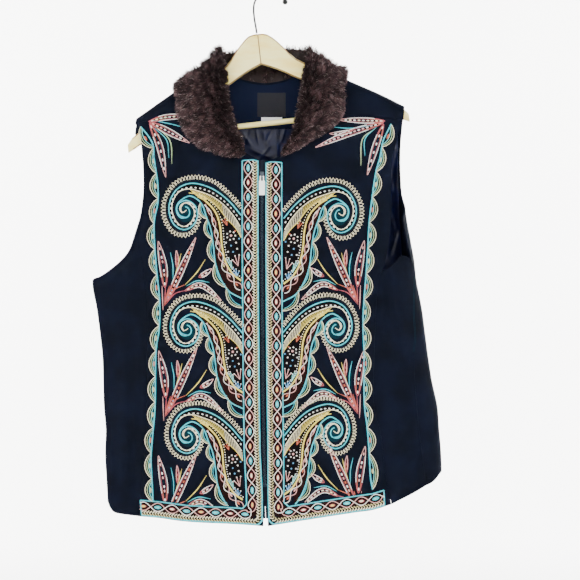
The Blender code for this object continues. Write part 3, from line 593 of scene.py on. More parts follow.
def hem_to_neck(top, low, rows):
    """An armhole edge and a seam joined, with their points spread evenly."""
    return join(spline(top, rows[0]), spline(low, rows[1]))


ROWS_LEFT, ROWS_RIGHT = (20, 54), (26, 48)
SHOULDER_STEPS, NECK_STEPS, HEM_STEPS = 16, 14, 30
SIDE_STEPS_LEFT, SIDE_STEPS_RIGHT = 14, 16
princess_left = spline(PRINCESS_LEFT, ROWS_LEFT[1])
princess_right = spline(PRINCESS_RIGHT, ROWS_RIGHT[1])
front_left = front_panel("felt_front_left",
                         join(spline(SHOULDER_SEAM_LEFT, SHOULDER_STEPS), spline(NECKLINE_LEFT, NECK_STEPS)),
                         spline(HEM_LEFT, HEM_STEPS), hem_to_neck(ARMHOLE_LEFT, PRINCESS_LEFT, ROWS_LEFT),
                         spline(ZIP_EDGE_LEFT, sum(ROWS_LEFT)))
front_right = front_panel("felt_front_right",
                          join(spline(NECKLINE_RIGHT, NECK_STEPS),
                               spline(SHOULDER_SEAM_RIGHT, SHOULDER_STEPS)),
                          spline(HEM_RIGHT, HEM_STEPS), spline(ZIP_EDGE_RIGHT, sum(ROWS_RIGHT)),
                          hem_to_neck(ARMHOLE_RIGHT, PRINCESS_RIGHT, ROWS_RIGHT))
side_z = np.linspace(*SIDE_SEAM_LEFT_HEIGHTS, ROWS_LEFT[1] + 1)
side_seam_left = np.stack((outline("left", side_z), side_z, np.ones_like(side_z)), -1)
side_left = front_panel("felt_side_front_left", spline(ARMHOLE_LEFT_LOW, SIDE_STEPS_LEFT),
                        spline(HEM_LEFT_SIDE, SIDE_STEPS_LEFT), side_seam_left[:, :2], princess_left)
side_right = front_panel("felt_side_front_right", spline(ARMHOLE_RIGHT_LOW, SIDE_STEPS_RIGHT),
                         spline(HEM_RIGHT_SIDE, SIDE_STEPS_RIGHT), princess_right,
                         spline(SIDE_SEAM_RIGHT, ROWS_RIGHT[1]))

# %% [markdown]
# The back goes over both shoulders, so its grid is laid out by the way round the body and the way
# down the cloth. Rows close together follow the tight turn over the hanger.


# %% Back panel
def sided(points, count):
    """A smooth edge whose points carry the side that they lie on."""
    return spline(to_wrap(np.array(points, float)), count)


def on_front(points):
    return to_wrap(np.hstack((points, -np.ones((len(points), 1)))))


YOKE_LEVELS = tuple(np.linspace(-22, 28, 22))
YOKE_FOOT = 18.0
BACK_NECK_STEPS = 20


def over_shoulder(top):
    """Rows from the top edge, round the shoulder and a little way down behind."""
    rows = [top]
    first = np.minimum(top[:, 1], YOKE_LEVELS[0])
    levels = [first * 0.67 + YOKE_LEVELS[0] * 0.33, first * 0.33 + YOKE_LEVELS[0] * 0.67]
    levels += [np.full(len(top), float(e)) for e in YOKE_LEVELS]
    for k, level in enumerate(levels, 1):
        rows.append(np.stack((top[:, 0], np.maximum(level, top[:, 1] + YOKE_FOOT * k / len(levels))), -1))
    return np.array(rows)


def back_grid():
    neck = join(sided(NECKLINE_YOKE_LEFT, NECK_STEPS), sided(NECKLINE_BACK, BACK_NECK_STEPS),
                sided(NECKLINE_YOKE_RIGHT, NECK_STEPS))
    yoke = over_shoulder(join(on_front(spline(SHOULDER_SEAM_LEFT, SHOULDER_STEPS)), neck,
                              on_front(spline(SHOULDER_SEAM_RIGHT, SHOULDER_STEPS))))
    shelf = yoke[-1]
    armhole_left = np.vstack((shelf[:1], to_wrap(np.array(ARMHOLE_BACK_LEFT, float))))
    armhole_right = np.vstack((shelf[-1:], to_wrap(np.array(ARMHOLE_BACK_RIGHT, float))))
    left = join(spline(armhole_left, ROWS_LEFT[0]), to_wrap(side_seam_left))
    right = join(spline(armhole_right, ROWS_RIGHT[0]), on_front(spline(SIDE_SEAM_RIGHT, ROWS_RIGHT[1])))
    return np.concatenate((yoke, patch(shelf, sided(HEM_BACK, len(shelf) - 1), left, right)[1:]))


x, z, side = from_wrap(back_grid())
back = wall("felt_back", pull_in(skin(x, z, side)), pull_in(skin(x, z, side, CLOTH)), felt)
for piece, node in ((front_left, "front_left"), (front_right, "front_right"), (side_left, "side_front_left"),
                    (side_right, "side_front_right"), (back, "back")):
    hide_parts(node)
print("felt_back", x.shape)

# %% [markdown]
# ## The embroidery
#
# Real crewel work is chain stitch and satin stitch in twisted cotton, standing about half a
# millimetre proud. Drawing it as a flat picture would lose the light on each row, so every line is
# a thin half-round thread laid on the cloth, and every leaf or lens is a low padded shape. The
# drawing is set out on a grid of squares of 1.575 mm, counted right and down from its corner.

# %% Threads
TONES = {
    "turquoise": "#27b3c2", "pale_teal": "#74d4cf", "deep_teal": "#04222c", "blue": "#4f9bd0",
    "cream": "#efe5bd", "white": "#ece9e2", "yellow": "#dfc850", "khaki": "#bdb076", "green": "#a3bd86",
    "pink": "#d79a94", "rose": "#a8404a", "orange": "#bb5230", "maroon": "#1a0706", "ground": "#070406",
}


DULL = ("ground", "maroon", "deep_teal")
SHADE = 0.78


def thread_finish(name, code):
    """Twisted cotton: a soft satin gloss, none on the dark grounds, and plies drawn at twice their width."""
    dull = name in DULL
    dark = "#" + "".join(f"{int(int(code[i:i + 2], 16) * SHADE):02x}" for i in (1, 3, 5))
    return new_finish(name + "_cotton_thread", code, 0.85 if dull else 0.6,
                      {"mm": 3.0, "detail": 1, "dark": dark, "light": code, "levels": (0.3, 0.5)},
                      {"mm": 1.2, "detail": 2, "depth": 0.3, "strength": 0.6},
                      Sheen_Weight=0.0 if dull else 0.15, Specular_IOR_Level=0.08 if dull else 0.5)


threads = [thread_finish(name, code) for name, code in TONES.items()]
TONE = {name: i for i, name in enumerate(TONES)}
print(len(threads), "thread colours")


# %% Lines on the cloth
GRID = 1.575
GRID_CORNER = (269.5, -7.0)
STITCH_STEP = 1.6


def on_cloth(points):
    """Drawing squares to millimetres on the front."""
    p = np.asarray(points, float)
    return np.stack(((p[:, 0] - GRID_CORNER[0]) * GRID, (GRID_CORNER[1] - p[:, 1]) * GRID), -1)


def even(points, step=STITCH_STEP):
    """A smooth line through points, in drawing squares, with evenly spaced points."""
    p = np.asarray(points, float)
    length = np.linalg.norm(np.diff(p, axis=0), axis=1).sum()
    return spline(p, max(2, int(length / step)))


def frames(line, gap, start=0.5):
    """Places at even gaps along a line, with the direction and the left-hand normal there."""
    run = way_along(line)
    at = np.arange(start * gap, run[-1], gap)
    place = np.stack([np.interp(at, run, line[:, k]) for k in (0, 1)], -1)
    way = np.stack([np.interp(at, run, np.gradient(line[:, k], run)) for k in (0, 1)], -1)
    way /= np.linalg.norm(way, axis=1, keepdims=True)
    return place, way, np.stack((way[:, 1], -way[:, 0]), -1)


def ways(line):
    """Direction and left-hand normal at each point of a line."""
    way = np.gradient(line, axis=0)
    way /= np.maximum(np.linalg.norm(way, axis=1, keepdims=True), 1e-9)
    return way, np.stack((way[:, 1], -way[:, 0]), -1)


print("a square is", GRID, "mm and the drawing starts at", on_cloth([(0, 0)])[0].round(1))


# %% Stitch builder
# how deep a thread and a ground sit in the felt, in millimetres, and how a thread rounds and tapers
SUNK, GROUND_SUNK = 0.15, 0.2
CREST, TIP, CROWN_RISE, LENS_POINT = 0.55, 0.35, 1.1, 0.35


class Stitching:
    """Threads and padded shapes on the front: drawing places with a height, gathered into one piece."""

    def __init__(self, name, keep=None):
        self.name, self.keep = name, keep
        self.places, self.heights, self.faces, self.marks, self.count = [], [], [], [], 0

    def put(self, places, heights, faces, tone):
        self.places.append(places)
        self.heights.append(np.broadcast_to(heights, len(places)))
        self.faces += [tuple(i + self.count for i in f) for f in faces]
        self.marks += [TONE[tone]] * len(faces)
        self.count += len(places)

    def thread(self, line, tone, width=1.0, high=0.55, pointed=False):
        """A half-round thread; width is in millimetres, pointed thins both ends."""
        p = np.asarray(line, float)
        if self.keep:
            p = p[self.keep(p)]
        n = len(p)
        if n < 2:
            return
        half = np.full((n, 1), width / 2 / GRID)
        if pointed:
            half *= (TIP + (1 - TIP) * np.sin(math.pi * np.linspace(0, 1, n)))[:, None]
        out = ways(p)[1] * half
        rings = np.stack((p - out, p - out * CREST, p + out * CREST, p + out), 1).reshape(-1, 2)
        faces = [(4 * k + i, 4 * k + (i + 1) % 4, 4 * k + 4 + (i + 1) % 4, 4 * k + 4 + i)
                 for k in range(n - 1) for i in range(4)]
        faces += [(3, 2, 1, 0), tuple(range(4 * n - 4, 4 * n))]
        self.put(rings, np.tile((-SUNK, high, high, -SUNK), n), faces, tone)

    def pad(self, rim, tone, high=0.6, fall=0.55):
        """A padded shape inside a closed rim."""
        rim = np.asarray(rim, float)
        if self.keep and not self.keep(rim).all():
            return
        middle = rim.mean(0)
        n = len(rim)
        faces = [(i, (i + 1) % n, n + (i + 1) % n, n + i) for i in range(n)]
        faces += [(n + i, n + (i + 1) % n, 2 * n) for i in range(n)]
        heights = np.concatenate((np.full(n, -SUNK), np.full(n, high), (high * CROWN_RISE,)))
        self.put(np.vstack((rim, middle + (rim - middle) * fall, middle)), heights,
                 faces + [tuple(range(n - 1, -1, -1))], tone)

    def dot(self, place, tone, size=1.0, high=0.6):
        """A knot; size is its radius in squares."""
        a = np.linspace(0, 2 * math.pi, 6, endpoint=False)
        self.pad(np.stack((place[0] + size * np.cos(a), place[1] + size * np.sin(a)), -1), tone, high)

    def lens(self, place, way, long, wide, tone, high=0.6):
        """A pointed oval along a direction; long and wide are half sizes in squares."""
        t = np.linspace(0, 2 * math.pi, 10, endpoint=False)
        side = np.array((way[1], -way[0]))
        swell = np.sin(t) * np.abs(np.sin(t))**LENS_POINT
        self.pad(place + np.cos(t)[:, None] * long * way + swell[:, None] * wide * side, tone, high)

    def lay(self, a, b, tone, high=0.18, columns=3):
        """A flat ground between two lines of equal length."""
        if self.keep:
            kept = self.keep(a) & self.keep(b)
            a, b = a[kept], b[kept]
        u = np.linspace(0, 1, columns + 1)[:, None, None]
        grid = (1 - u) * a[None] + u * b[None]
        rows, width = grid.shape[:2]
        n = rows * width
        faces = []
        for j in range(rows - 1):
            for i in range(width - 1):
                q = (j * width + i, j * width + i + 1, (j + 1) * width + i + 1, (j + 1) * width + i)
                faces += [q, tuple(n + k for k in reversed(q))]
        rim = rim_of(rows, width)
        for k, (j, i) in enumerate(rim):
            j2, i2 = rim[(k + 1) % len(rim)]
            faces.append((j2 * width + i2, j * width + i, n + j * width + i, n + j2 * width + i2))
        flat = grid.reshape(-1, 2)
        self.put(np.vstack((flat, flat)), np.repeat((high, -GROUND_SUNK), n), faces, tone)

    def finish(self):
        p = on_cloth(np.vstack(self.places))
        points = skin(p[:, 0], p[:, 1], -1, -np.concatenate(self.heights))
        piece = add_piece(self.name, points, self.faces, threads, marks=self.marks, sharp=60)
        print(self.name, len(self.faces), "faces")
        return piece


print("a thread's crest is", CREST, "of its width")

# %% [markdown]
# Bands run down both sides of the zip and turn along the hem. From the edge inward they are a
# turquoise line, a plait of slanted stitches, a chain of lenses between two crossing waves, and a
# turquoise line. Each row is the same edge moved inward, so one function makes them all.


# %% Edges of the bands
def hem_height(u, left):
    """Where the hem lies below a place across, in squares."""
    rows = np.array(HEM_LEFT if left else HEM_RIGHT, float)
    x = (u - GRID_CORNER[0]) * GRID
    return -np.interp(x, rows[:, 0], rows[:, 1]) / GRID + GRID_CORNER[1]


def zip_edge(v, left):
    """Where the zip's edge lies at a place down, in squares."""
    rows = np.array(ZIP_EDGE_LEFT if left else ZIP_EDGE_RIGHT, float)
    z = (GRID_CORNER[1] - v) * GRID
    return np.interp(-z, -rows[:, 1], rows[:, 0]) / GRID + GRID_CORNER[0]


# whether it is the left one, its way from the zip, its top end and its end along the hem
BANDS = {"left": (True, -1, 162.0, 140.5), "right": (False, 1, 164.0, 384.5)}
BAND_FOOT = 540
HEM_SHARE = 0.97


def rail(which, inset, corner=3.0):
    """The band's edge moved inward, from its top end down to the hem and along it."""
    left, way, top, end = BANDS[which]
    v = np.arange(top, BAND_FOOT, 2.0)
    down = np.stack((zip_edge(v, left) + way * inset, v), -1)
    u = np.arange(down[-1, 0], end, way * 2.0)
    along = np.stack((u, hem_height(u, left) - inset * HEM_SHARE), -1)
    meet = np.interp(down[:, 0], along[:, 0] if way > 0 else along[::-1, 0],
                     along[:, 1] if way > 0 else along[::-1, 1])
    down = down[down[:, 1] < meet - corner]
    along = along[(along[:, 0] - down[-1, 0]) * way > corner]
    return even(np.vstack((down, along)))


def wave(line, period, size, phase):
    """A line swung from side to side."""
    swing = size * np.sin(2 * math.pi * way_along(line) / period + phase)
    return line + swing[:, None] * ways(line)[1]


print("the left hem lies", round(float(hem_height(200, True)), 1), "squares down under its middle")


# %% Zip and hem bands
# each row's distance from the zip's edge, in squares
BAND_ROWS = {"edge": 1.4, "plait": 4.3, "ground_start": 7.2, "chain": 11.0, "ground_end": 15.6, "inner": 16.8}
PLAIT_GAP, LENS_GAP = 2.8, 14.5


def band(which):
    work = Stitching("embroidered_band_" + which)
    row = {name: rail(which, inset) for name, inset in BAND_ROWS.items()}
    edge, inner = row["edge"], row["inner"]
    grounds = (row["ground_start"], row["ground_end"])
    n = min(len(r) for r in grounds)
    work.lay(*(r[np.linspace(0, len(r) - 1, n).astype(int)] for r in grounds), "maroon")
    work.thread(edge, "turquoise", 2.6)
    work.thread(inner, "turquoise", 2.2)
    top = even(((edge[0] + (0, 1)), (edge[0] * 0.7 + inner[0] * 0.3 - (0, 0.6)), inner[0]))
    work.thread(top, "turquoise", 2.2)
    work.thread(even((edge[-1], inner[-1]), 2), "turquoise", 2.2)
    for p, w, s in zip(*frames(row["plait"], PLAIT_GAP)):
        for k, tone in ((-1, "cream"), (1, "khaki")):
            slant = (p + k * s * 2.3 - w * 1.1, p + k * s * 1.2 + w * 0.2, p + k * s * 0.2 + w * 1.2)
            work.thread(np.array(slant), tone, 1.7, 0.5)
    fine = even(row["chain"], 1.2)
    for phase, tone, high in ((0, "white", 0.7), (math.pi, "pink", 0.6)):
        work.thread(wave(fine, 2 * LENS_GAP, 4.1, phase), tone, 1.5, high)
    for k, (p, w, _) in enumerate(zip(*frames(fine, LENS_GAP))):
        if k % 2:
            work.lens(p, w, 4.4, 2.1, "rose", 0.35)
            work.lens(p, w, 3.2, 1.4, "cream" if k % 4 == 1 else "yellow", 0.6)
        else:
            work.lens(p, w, 4.8, 2.3, "turquoise", 0.5)
            work.lens(p, w, 3.0, 1.2, "pale_teal", 0.75)
    return work.finish()


bands = [band(which) for which in BANDS]

# %% [markdown]
# Away from the zip each front is framed by a turquoise line with a row of scallops outside it. A
# scallop is three nested arcs, cream, yellow-green and pale teal, with a small leaf in the middle.


# %% Scalloped borders
ARC_WIDTH = 1.3


def arcs(work, a, b, bulge, tones, leaf=None):
    """Nested arcs from one cusp to the next, standing out to the left of the way from a to b."""
    a, b = np.asarray(a, float), np.asarray(b, float)
    way = b - a
    side = np.array((way[1], -way[0])) / np.linalg.norm(way)
    t = np.linspace(0, 1, 9)
    for k, tone in enumerate(tones):
        share = 1 - 0.29 * k
        line = a + way * (0.5 + (t - 0.5) * (1 - 0.13 * k))[:, None]
        line = line + side * (bulge * share * np.sin(math.pi * t)**0.75)[:, None]
        work.thread(line, tone, ARC_WIDTH - 0.15 * k, 0.6)
    if leaf:
        middle = a + way * 0.5 + side * bulge * 0.24
        work.lens(middle, way / np.linalg.norm(way), bulge * 0.42, bulge * 0.17, leaf, 0.5)


BORDERS = {
    "left": ((141, 127.5), (148.5, 136.5), (153.5, 146), (154.5, 159), (158, 182), (158.7, 202),
             (155, 222), (155.4, 244), (157.5, 270), (160.5, 300), (160, 328), (156.5, 354), (155.7, 405),
             (153, 437), (151.6, 459), (153, 486), (153.5, 500.5)),
    "right": ((390.5, 125), (386, 134), (382, 143), (379, 159), (375, 173), (371, 199), (368, 225),
              (366.6, 250), (365, 275), (363, 300), (362, 325), (363, 351), (363.4, 401), (366, 424),
              (368, 448), (369.3, 474), (371.5, 487.5)),
}
SCALLOP, SCALLOP_LEAST = 25.4, 12
BULGE, FULL_BULGE_FROM = 7.4, 22


def border(which, way):
    work = Stitching("scalloped_border_" + which)
    line = even(BORDERS[which])
    work.thread(line, "turquoise", 2.4, 0.7)
    run = way_along(line)
    cusps = np.concatenate((np.arange(0, run[-1] - SCALLOP_LEAST, SCALLOP), run[-1:]))
    cusps = np.stack([np.interp(cusps, run, line[:, k]) for k in (0, 1)], -1)
    for k, (a, b) in enumerate(zip(cusps, cusps[1:])):
        bulge = BULGE * min(1, np.linalg.norm(b - a) / FULL_BULGE_FROM) * (0.92 if k % 2 else 1.0)
        arcs(work, a, b, -way * bulge, ("cream", "green", "pale_teal"), "khaki" if k % 3 else "orange")
    return work.finish()


borders = [border("left", 1), border("right", -1)]

# %% [markdown]
# Three paisleys on each front grow out of the zip band and curl into a spiral. They are traditional
# teardrops, drawn anew on the photo's layout. Every line below is written once, in squares from the
# spiral's centre towards the band and down, and repeated in mirror image and slightly squeezed.


# %% Paisley lines
LOOP_ROW = ((14.5, 5), (13.5, 14), (9, 22), (3, 26), (-3, 26.5), (-9, 25), (-14.5, 20.5), (-18.5, 14),
            (-21, 7), (-21.5, 0), (-20.5, -8), (-16.5, -17), (-10, -25), (-2, -29.5), (7, -31), (15, -31),
            (23, -29), (31, -25.5), (38, -20), (45, -13.5), (51, -7), (56, -1))
OUTER_TEAL = ((56, 7), (44, -7), (30, -18), (15, -24), (3, -24.5), (-8, -19), (-14.5, -8), (-15.5, 4),
              (-10.5, 16), (-1, 21), (8, 17), (12.5, 9), (12, 1), (8, -5), (1, -8), (-6, -5), (-8, 1),
              (-5, 7), (1, 9))
OUTER_CREAM = ((55, 18), (48, 7), (38, -4), (27, -12), (14, -17), (4, -19.5), (-6, -16.5), (-12, -7),
               (-12.6, 3), (-8, 13.5), (-1, 18), (6, 14), (9.5, 7), (9, 1), (5, -4), (0, -5.5), (-4, -3),
               (-5, 1), (-2.5, 4.5))
INNER_CREAM = ((56, 29), (50, 19), (41, 9.5), (33, -1), (23, -9), (12, -14), (4, -15.5))
YELLOW_STEM = ((56, 71.5), (48, 65), (41, 54), (37, 37), (35, 17), (30, 3), (21, -7), (13, -12))
TWIST = ((56, 80), (46, 69), (39, 57), (33, 36), (30.5, 20), (27, 8), (20, -4))
INNER_TEAL = ((56.5, 89), (44, 82), (36, 70), (30.5, 54), (28.5, 37), (26, 21), (21.5, 8), (16.5, -5),
              (7, -12), (0.5, -11), (-6, -6), (-8.3, -0.5), (-7, 6), (-3, 9.5), (3, 8.3), (5, 4),
              (3.3, -0.5), (0.5, -1.7))
HEART_CREAM = ((10.5, -0.5), (7, -5), (2, -6), (-2, -4), (-4, 0.5), (-2, 4), (1.7, 1.7))
SCALLOP_CUSPS = ((15.5, -5), (22.8, 10.6), (27.2, 30.5), (30.5, 53.9), (41.7, 78.3), (57.2, 98.3))
PAISLEYS = (("left", 185.6, 209.4, 1.0, 1.0), ("left", 187.2, 326.7, 1.0, 0.91),
            ("left", 188.1, 433.1, 0.98, 0.9), ("right", 339.5, 212.5, 1.0, 1.0),
            ("right", 336, 326, 0.95, 0.91), ("right", 334.4, 428.1, 0.9, 0.9))
BAND_WIDTH = 17.6
chance = np.random.default_rng(11)
print(len(PAISLEYS), "paisleys, each spiral", LOOP_ROW[0][0] - min(p[0] for p in LOOP_ROW), "squares across")


def above_hem(left):
    """Keeps only what lies above the hem band."""
    return lambda p: p[:, 1] < hem_height(p[:, 0], left) - BAND_WIDTH * HEM_SHARE


# %% Paisleys
def between(a, b, gap):
    """Pairs of places along two lines."""
    count = max(4, int(np.linalg.norm(np.diff(np.array(a, float), axis=0), axis=1).sum() / gap))
    return spline(a, count), spline(b, count)


def paisley(work, way, x, y, wide, deep):
    """One teardrop: its grounds, the looped row, the long lines, the fillings and the flowers."""
    def at(points):
        p = np.atleast_2d(np.asarray(points, float))
        return np.stack((x + way * wide * p[:, 0], y + p[:, 1] * np.where(p[:, 1] > 0, deep, 1)), -1)

    # a ground covers only the first points of a line, from the band to where the line starts to curl
    for a, b, tone in ((INNER_CREAM[:6], YELLOW_STEM, "ground"), (YELLOW_STEM, INNER_TEAL[:8], "maroon"),
                       (OUTER_TEAL[:11], OUTER_CREAM[:11], "ground")):
        p, q = between(a, b, 3.0)
        work.lay(at(p), at(q), tone)
    turn = np.linspace(0, 2 * math.pi, 19)
    disc = np.stack((np.cos(turn), np.sin(turn)), -1)
    work.lay(at(disc * (9, 12) + (1, 2)), at(disc * 0.5 + (1, 2)), "deep_teal", 0.15)

    for p, w, s in zip(*frames(even(LOOP_ROW, 1.0), 3.3)):
        high = chance.uniform(4.0, 5.0)
        p = p - s * high / 2
        work.thread(at((p - w * 0.9, p - w * 1.3 + s * high * 0.6, p + s * high, p + w * 1.3 + s * high * 0.6,
                        p + w * 0.9)), "cream", 1.05, 0.5)
    for line, tone, width, high in ((OUTER_TEAL, "turquoise", 2.3, 0.65), (OUTER_CREAM, "cream", 1.6, 0.6),
                                    (INNER_CREAM, "yellow", 1.5, 0.6), (YELLOW_STEM, "yellow", 3.0, 0.75),
                                    (INNER_TEAL, "turquoise", 2.3, 0.65)):
        work.thread(at(even(line)), tone, width, high)
    work.thread(at(even(HEART_CREAM, 1.0)), "cream", 1.5, 0.6)
    middle = spline((spline(OUTER_TEAL[:16], 60) + spline(OUTER_CREAM[:16], 60)) / 2, 90)
    for p, w, _ in zip(*frames(middle, 4.6)):
        work.lens(at(p)[0], (w[0] * way, w[1]), 1.5, 0.9, "white", 0.45)
    for p, q in zip(*between(OUTER_CREAM[:6], INNER_CREAM[:6], 2.8)):
        work.thread(at((p * 0.9 + q * 0.1, q)), "yellow" if p[0] < 36 else "cream", 0.9, 0.45)
    for p, _, s in zip(*frames(even(YELLOW_STEM, 1.0), 2.7)):
        work.dot(at(p + s * -2.6)[0], "white" if p[1] > 20 else "cream", 0.75, 0.45)
    for p in ((12, -13.5), (16, -11.5), (9, -16), (20, -9.5)):
        work.lens(at(p)[0], (0.9 * way, 0.42), 2.6, 1.2, "yellow", 0.6)
    twist = even(TWIST, 1.2)
    size = np.linspace(3.2, 1.0, len(twist))
    for phase, tone, high in ((0.4, "white", 0.7), (math.pi + 0.4, "pink", 0.6)):
        work.thread(at(wave(twist, 23.0, size, phase)), tone, 1.4, high)
    for k, (p, w, _) in enumerate(zip(*frames(twist, 11.5, 0.55))):
        work.lens(at(p)[0], (w[0] * way, w[1]), 2.4, 1.0, ("orange", "pink", "khaki")[k % 3], 0.45)
    cusps = at(SCALLOP_CUSPS)
    for k, (a, b) in enumerate(zip(cusps, cusps[1:])):
        middle = (a + b) / 2
        if above_hem(way > 0)(middle[None])[0]:
            arcs(work, a, b, -way * (5.2, 5.8, 6.4, 7.6, 7.0)[k], ("cream", "green", "turquoise"))

    bloom = np.array((46.0, 27.0))
    work.dot(at(bloom)[0], "pink", 1.5)
    for a in np.linspace(0, 2 * math.pi, 7, endpoint=False):
        work.dot(at(bloom + 4.2 * np.array((math.cos(a), math.sin(a))))[0], "white", 1.0)
    for *spot, tone in ((51, 34, "white"), (46, 37, "blue"), (52, 40, "white"), (48, 43, "blue"),
                        (43, 43, "white"), (54, 30, "blue"), (41, 34, "white"), (50, 22.5, "orange")):
        work.dot(at(spot)[0], tone, 1.05)
    for base, tips, tone in (((53, 57), ((50, 47), (54, 46), (47.5, 51)), "pink"),
                             ((52, 67), ((45, 61), (48, 58.5), (51, 60), (54, 62)), "blue"),
                             ((47, 60), ((41, 50), (43.5, 49), (46, 52)), "pale_teal"),
                             ((42, 17), ((37, 11), (39.5, 9.5), (42, 12)), "orange")):
        for tip in tips:
            work.thread(at(even((base, tip), 2.0)), tone, 1.3, 0.5)
            work.dot(at(tip)[0], "white" if tone != "orange" else "cream", 0.8)


print("a paisley has", len(OUTER_TEAL) + len(INNER_TEAL), "points in its turquoise lines")

# %% [markdown]
# Between the paisleys, sprays of long leaves fan out. A flat leaf copied and turned would look printed.
# So each leaf is a middle line and a width, and one function grows its two outlines along that line,
# with ovals between them.


# %% Leaf
def leaf(work, centre, wide, inside, edge="white"):
    """Two outlines that meet at both ends, rose at the base and pink at the tip, ovals in between."""
    line = even(centre, 1.5)
    t = np.linspace(0, 1, len(line))
    side = ways(line)[1]
    half = (wide * 0.44 * np.sin(math.pi * t**0.85)**0.8)[:, None]
    low, top = int(0.24 * len(line)), int(0.8 * len(line))
    for k in (1, -1):
        rim = line + k * side * half
        work.thread(rim[:low + 1], "rose", 1.3, 0.55)
        work.thread(rim[low:top + 1], edge, 1.3, 0.6)
        work.thread(rim[top:], "pink", 1.2, 0.6)
        inner = line + k * side * half * 0.62
        work.thread(inner[1:low + 4], "orange", 1.0, 0.5)
        work.thread(inner[low + 3:top], "rose", 0.9, 0.5)
    ovals = list(zip(*frames(line, 4.4, 0.9)))
    for k, (p, w, _) in enumerate(ovals[:-1]):
        work.lens(p, w, 1.7, min(0.95, wide * 0.14), inside[k % len(inside)], 0.45)


print("leaf helper ready")


# %% Leaf sprays
SPRAYS = (("left", 165.5, 306, 1.0), ("left", 166, 416, 1.02), ("left", 165.5, 521, 1.03),
          ("right", 357, 305, 0.99), ("right", 357, 413, 0.99), ("right", 358, 509, 1.0))


def spray(work, way, x, y, size):
    def at(points):
        p = np.asarray(points, float) * size
        return np.stack((x + way * p[:, 0], y + p[:, 1]), -1)

    leaf(work, at(((0.5, -18), (-1, -38), (-6.3, -64.3))), 8.2, ("white", "deep_teal", "pink"))
    leaf(work, at(((2.5, -5), (14, -30), (31.2, -67.7))), 7.2, ("pink", "white", "orange"))
    leaf(work, at(((20, -15), (36.5, -20.5), (56.5, -5.5))), 5.4, ("white", "cream"))
    leaf(work, at(((34, -28.5), (40.5, -32), (47, -37))), 5.0, ("white",))
    leaf(work, at(((12.4, -38), (12.6, -46), (11.8, -55))), 3.4, ("rose",), "pink")
    for *points, tone in (
            ((8.5, -27), (8.4, -40), (5.9, -53), "turquoise"),
            ((6.6, -24), (6.8, -36), (4.2, -48), "deep_teal"),
            ((10, -28), (13.5, -40), (16.5, -52), "yellow"), ((20.5, -21), (32, -33), (40.5, -46), "yellow"),
            ((22, -20), (32.5, -25), (44.5, -23.4), "turquoise"),
            ((21, -18.5), (31, -22.6), (40, -22.3), "deep_teal"),
            ((0, 0), (0.4, -8), (1, -18), "rose"), ((0, -1), (2, -10), (5, -20), "orange"),
            ((0.4, -2), (8, -15), (20, -21), "orange"), ((0.6, -1), (10, -12), (21, -15.5), "rose"),
            ((-1.5, 4), (-2, -6), (-2.5, -20), "pink"), ((1, -4), (5, -16), (9, -25), "rose")):
        work.thread(at(even(points, 2.0)), tone, 1.7, 0.5, True)
    for p in ((3.5, -9), (7.5, -15.5), (12, -19)):
        work.dot(at((p,))[0], "blue", 0.9)


for which, (left, way, *_) in BANDS.items():
    for name, draw, places in (("paisleys_", paisley, PAISLEYS), ("leaf_sprays_", spray, SPRAYS)):
        work = Stitching(name + which, above_hem(left))
        for place in places:
            if place[0] == which:
                draw(work, -way, *place[1:])
        work.finish()

# %% [markdown]
# On each shoulder three or four leaves fan out from the corner of the border, and the top one runs
# towards the collar. They use the same leaf as the sprays.

# %% Shoulder sprays
# for each side, the middle lines of the leaves with their widths, then the single strokes
SHOULDER_LEAVES = {
    "left": (((149, 122.5), (167.5, 118), (196, 117), 6), ((150, 123), (168, 132), (190, 144), 7),
             ((150, 124), (160, 147), (166.3, 178), 7)),
    "right": (((384.4, 122), (362, 121.5), (337.5, 121), 6), ((383, 123.5), (350, 134), (315, 148.8), 7),
              ((383, 125), (374, 150), (366.3, 176.3), 7), ((352, 131.5), (341, 134.5), (329, 135), 4.5)),
}
SHOULDER_STROKES = {
    "left": (((155, 129), (167, 141), (169.4, 159)), ((157, 128), (170.5, 142), (172.5, 165)),
             ((153, 121), (172, 125), (186, 129))),
    "right": (((376, 128), (364.4, 140), (364, 157.5)), ((374, 130), (361.5, 141), (360, 167)),
              ((372, 126), (352, 129.4), (332, 128.4))),
}
SHOULDER_OVALS = (("white", "cream"), ("pink", "white"), ("white", "deep_teal"), ("white",))
for which in BANDS:
    work = Stitching("shoulder_spray_" + which)
    for (*centre, wide), inside in zip(SHOULDER_LEAVES[which], SHOULDER_OVALS):
        leaf(work, centre, wide, inside)
    for points, tone in zip(SHOULDER_STROKES[which], ("turquoise", "green", "turquoise")):
        work.thread(even(points), tone, 1.8, 0.5, True)
    work.finish()

# %% [markdown]
# ## The fur collar
#
# The collar is a padded roll of faux fur: a knitted pelt with a pile about 12 mm long, brushed from
# the neck towards the outer edge and down. It could be a bumped surface, but the pile breaks the
# outline and takes the light hair by hair, so it is made of tapered blades on a dark pelt. Blades in
# one tuft lean together, as brushed hair does.

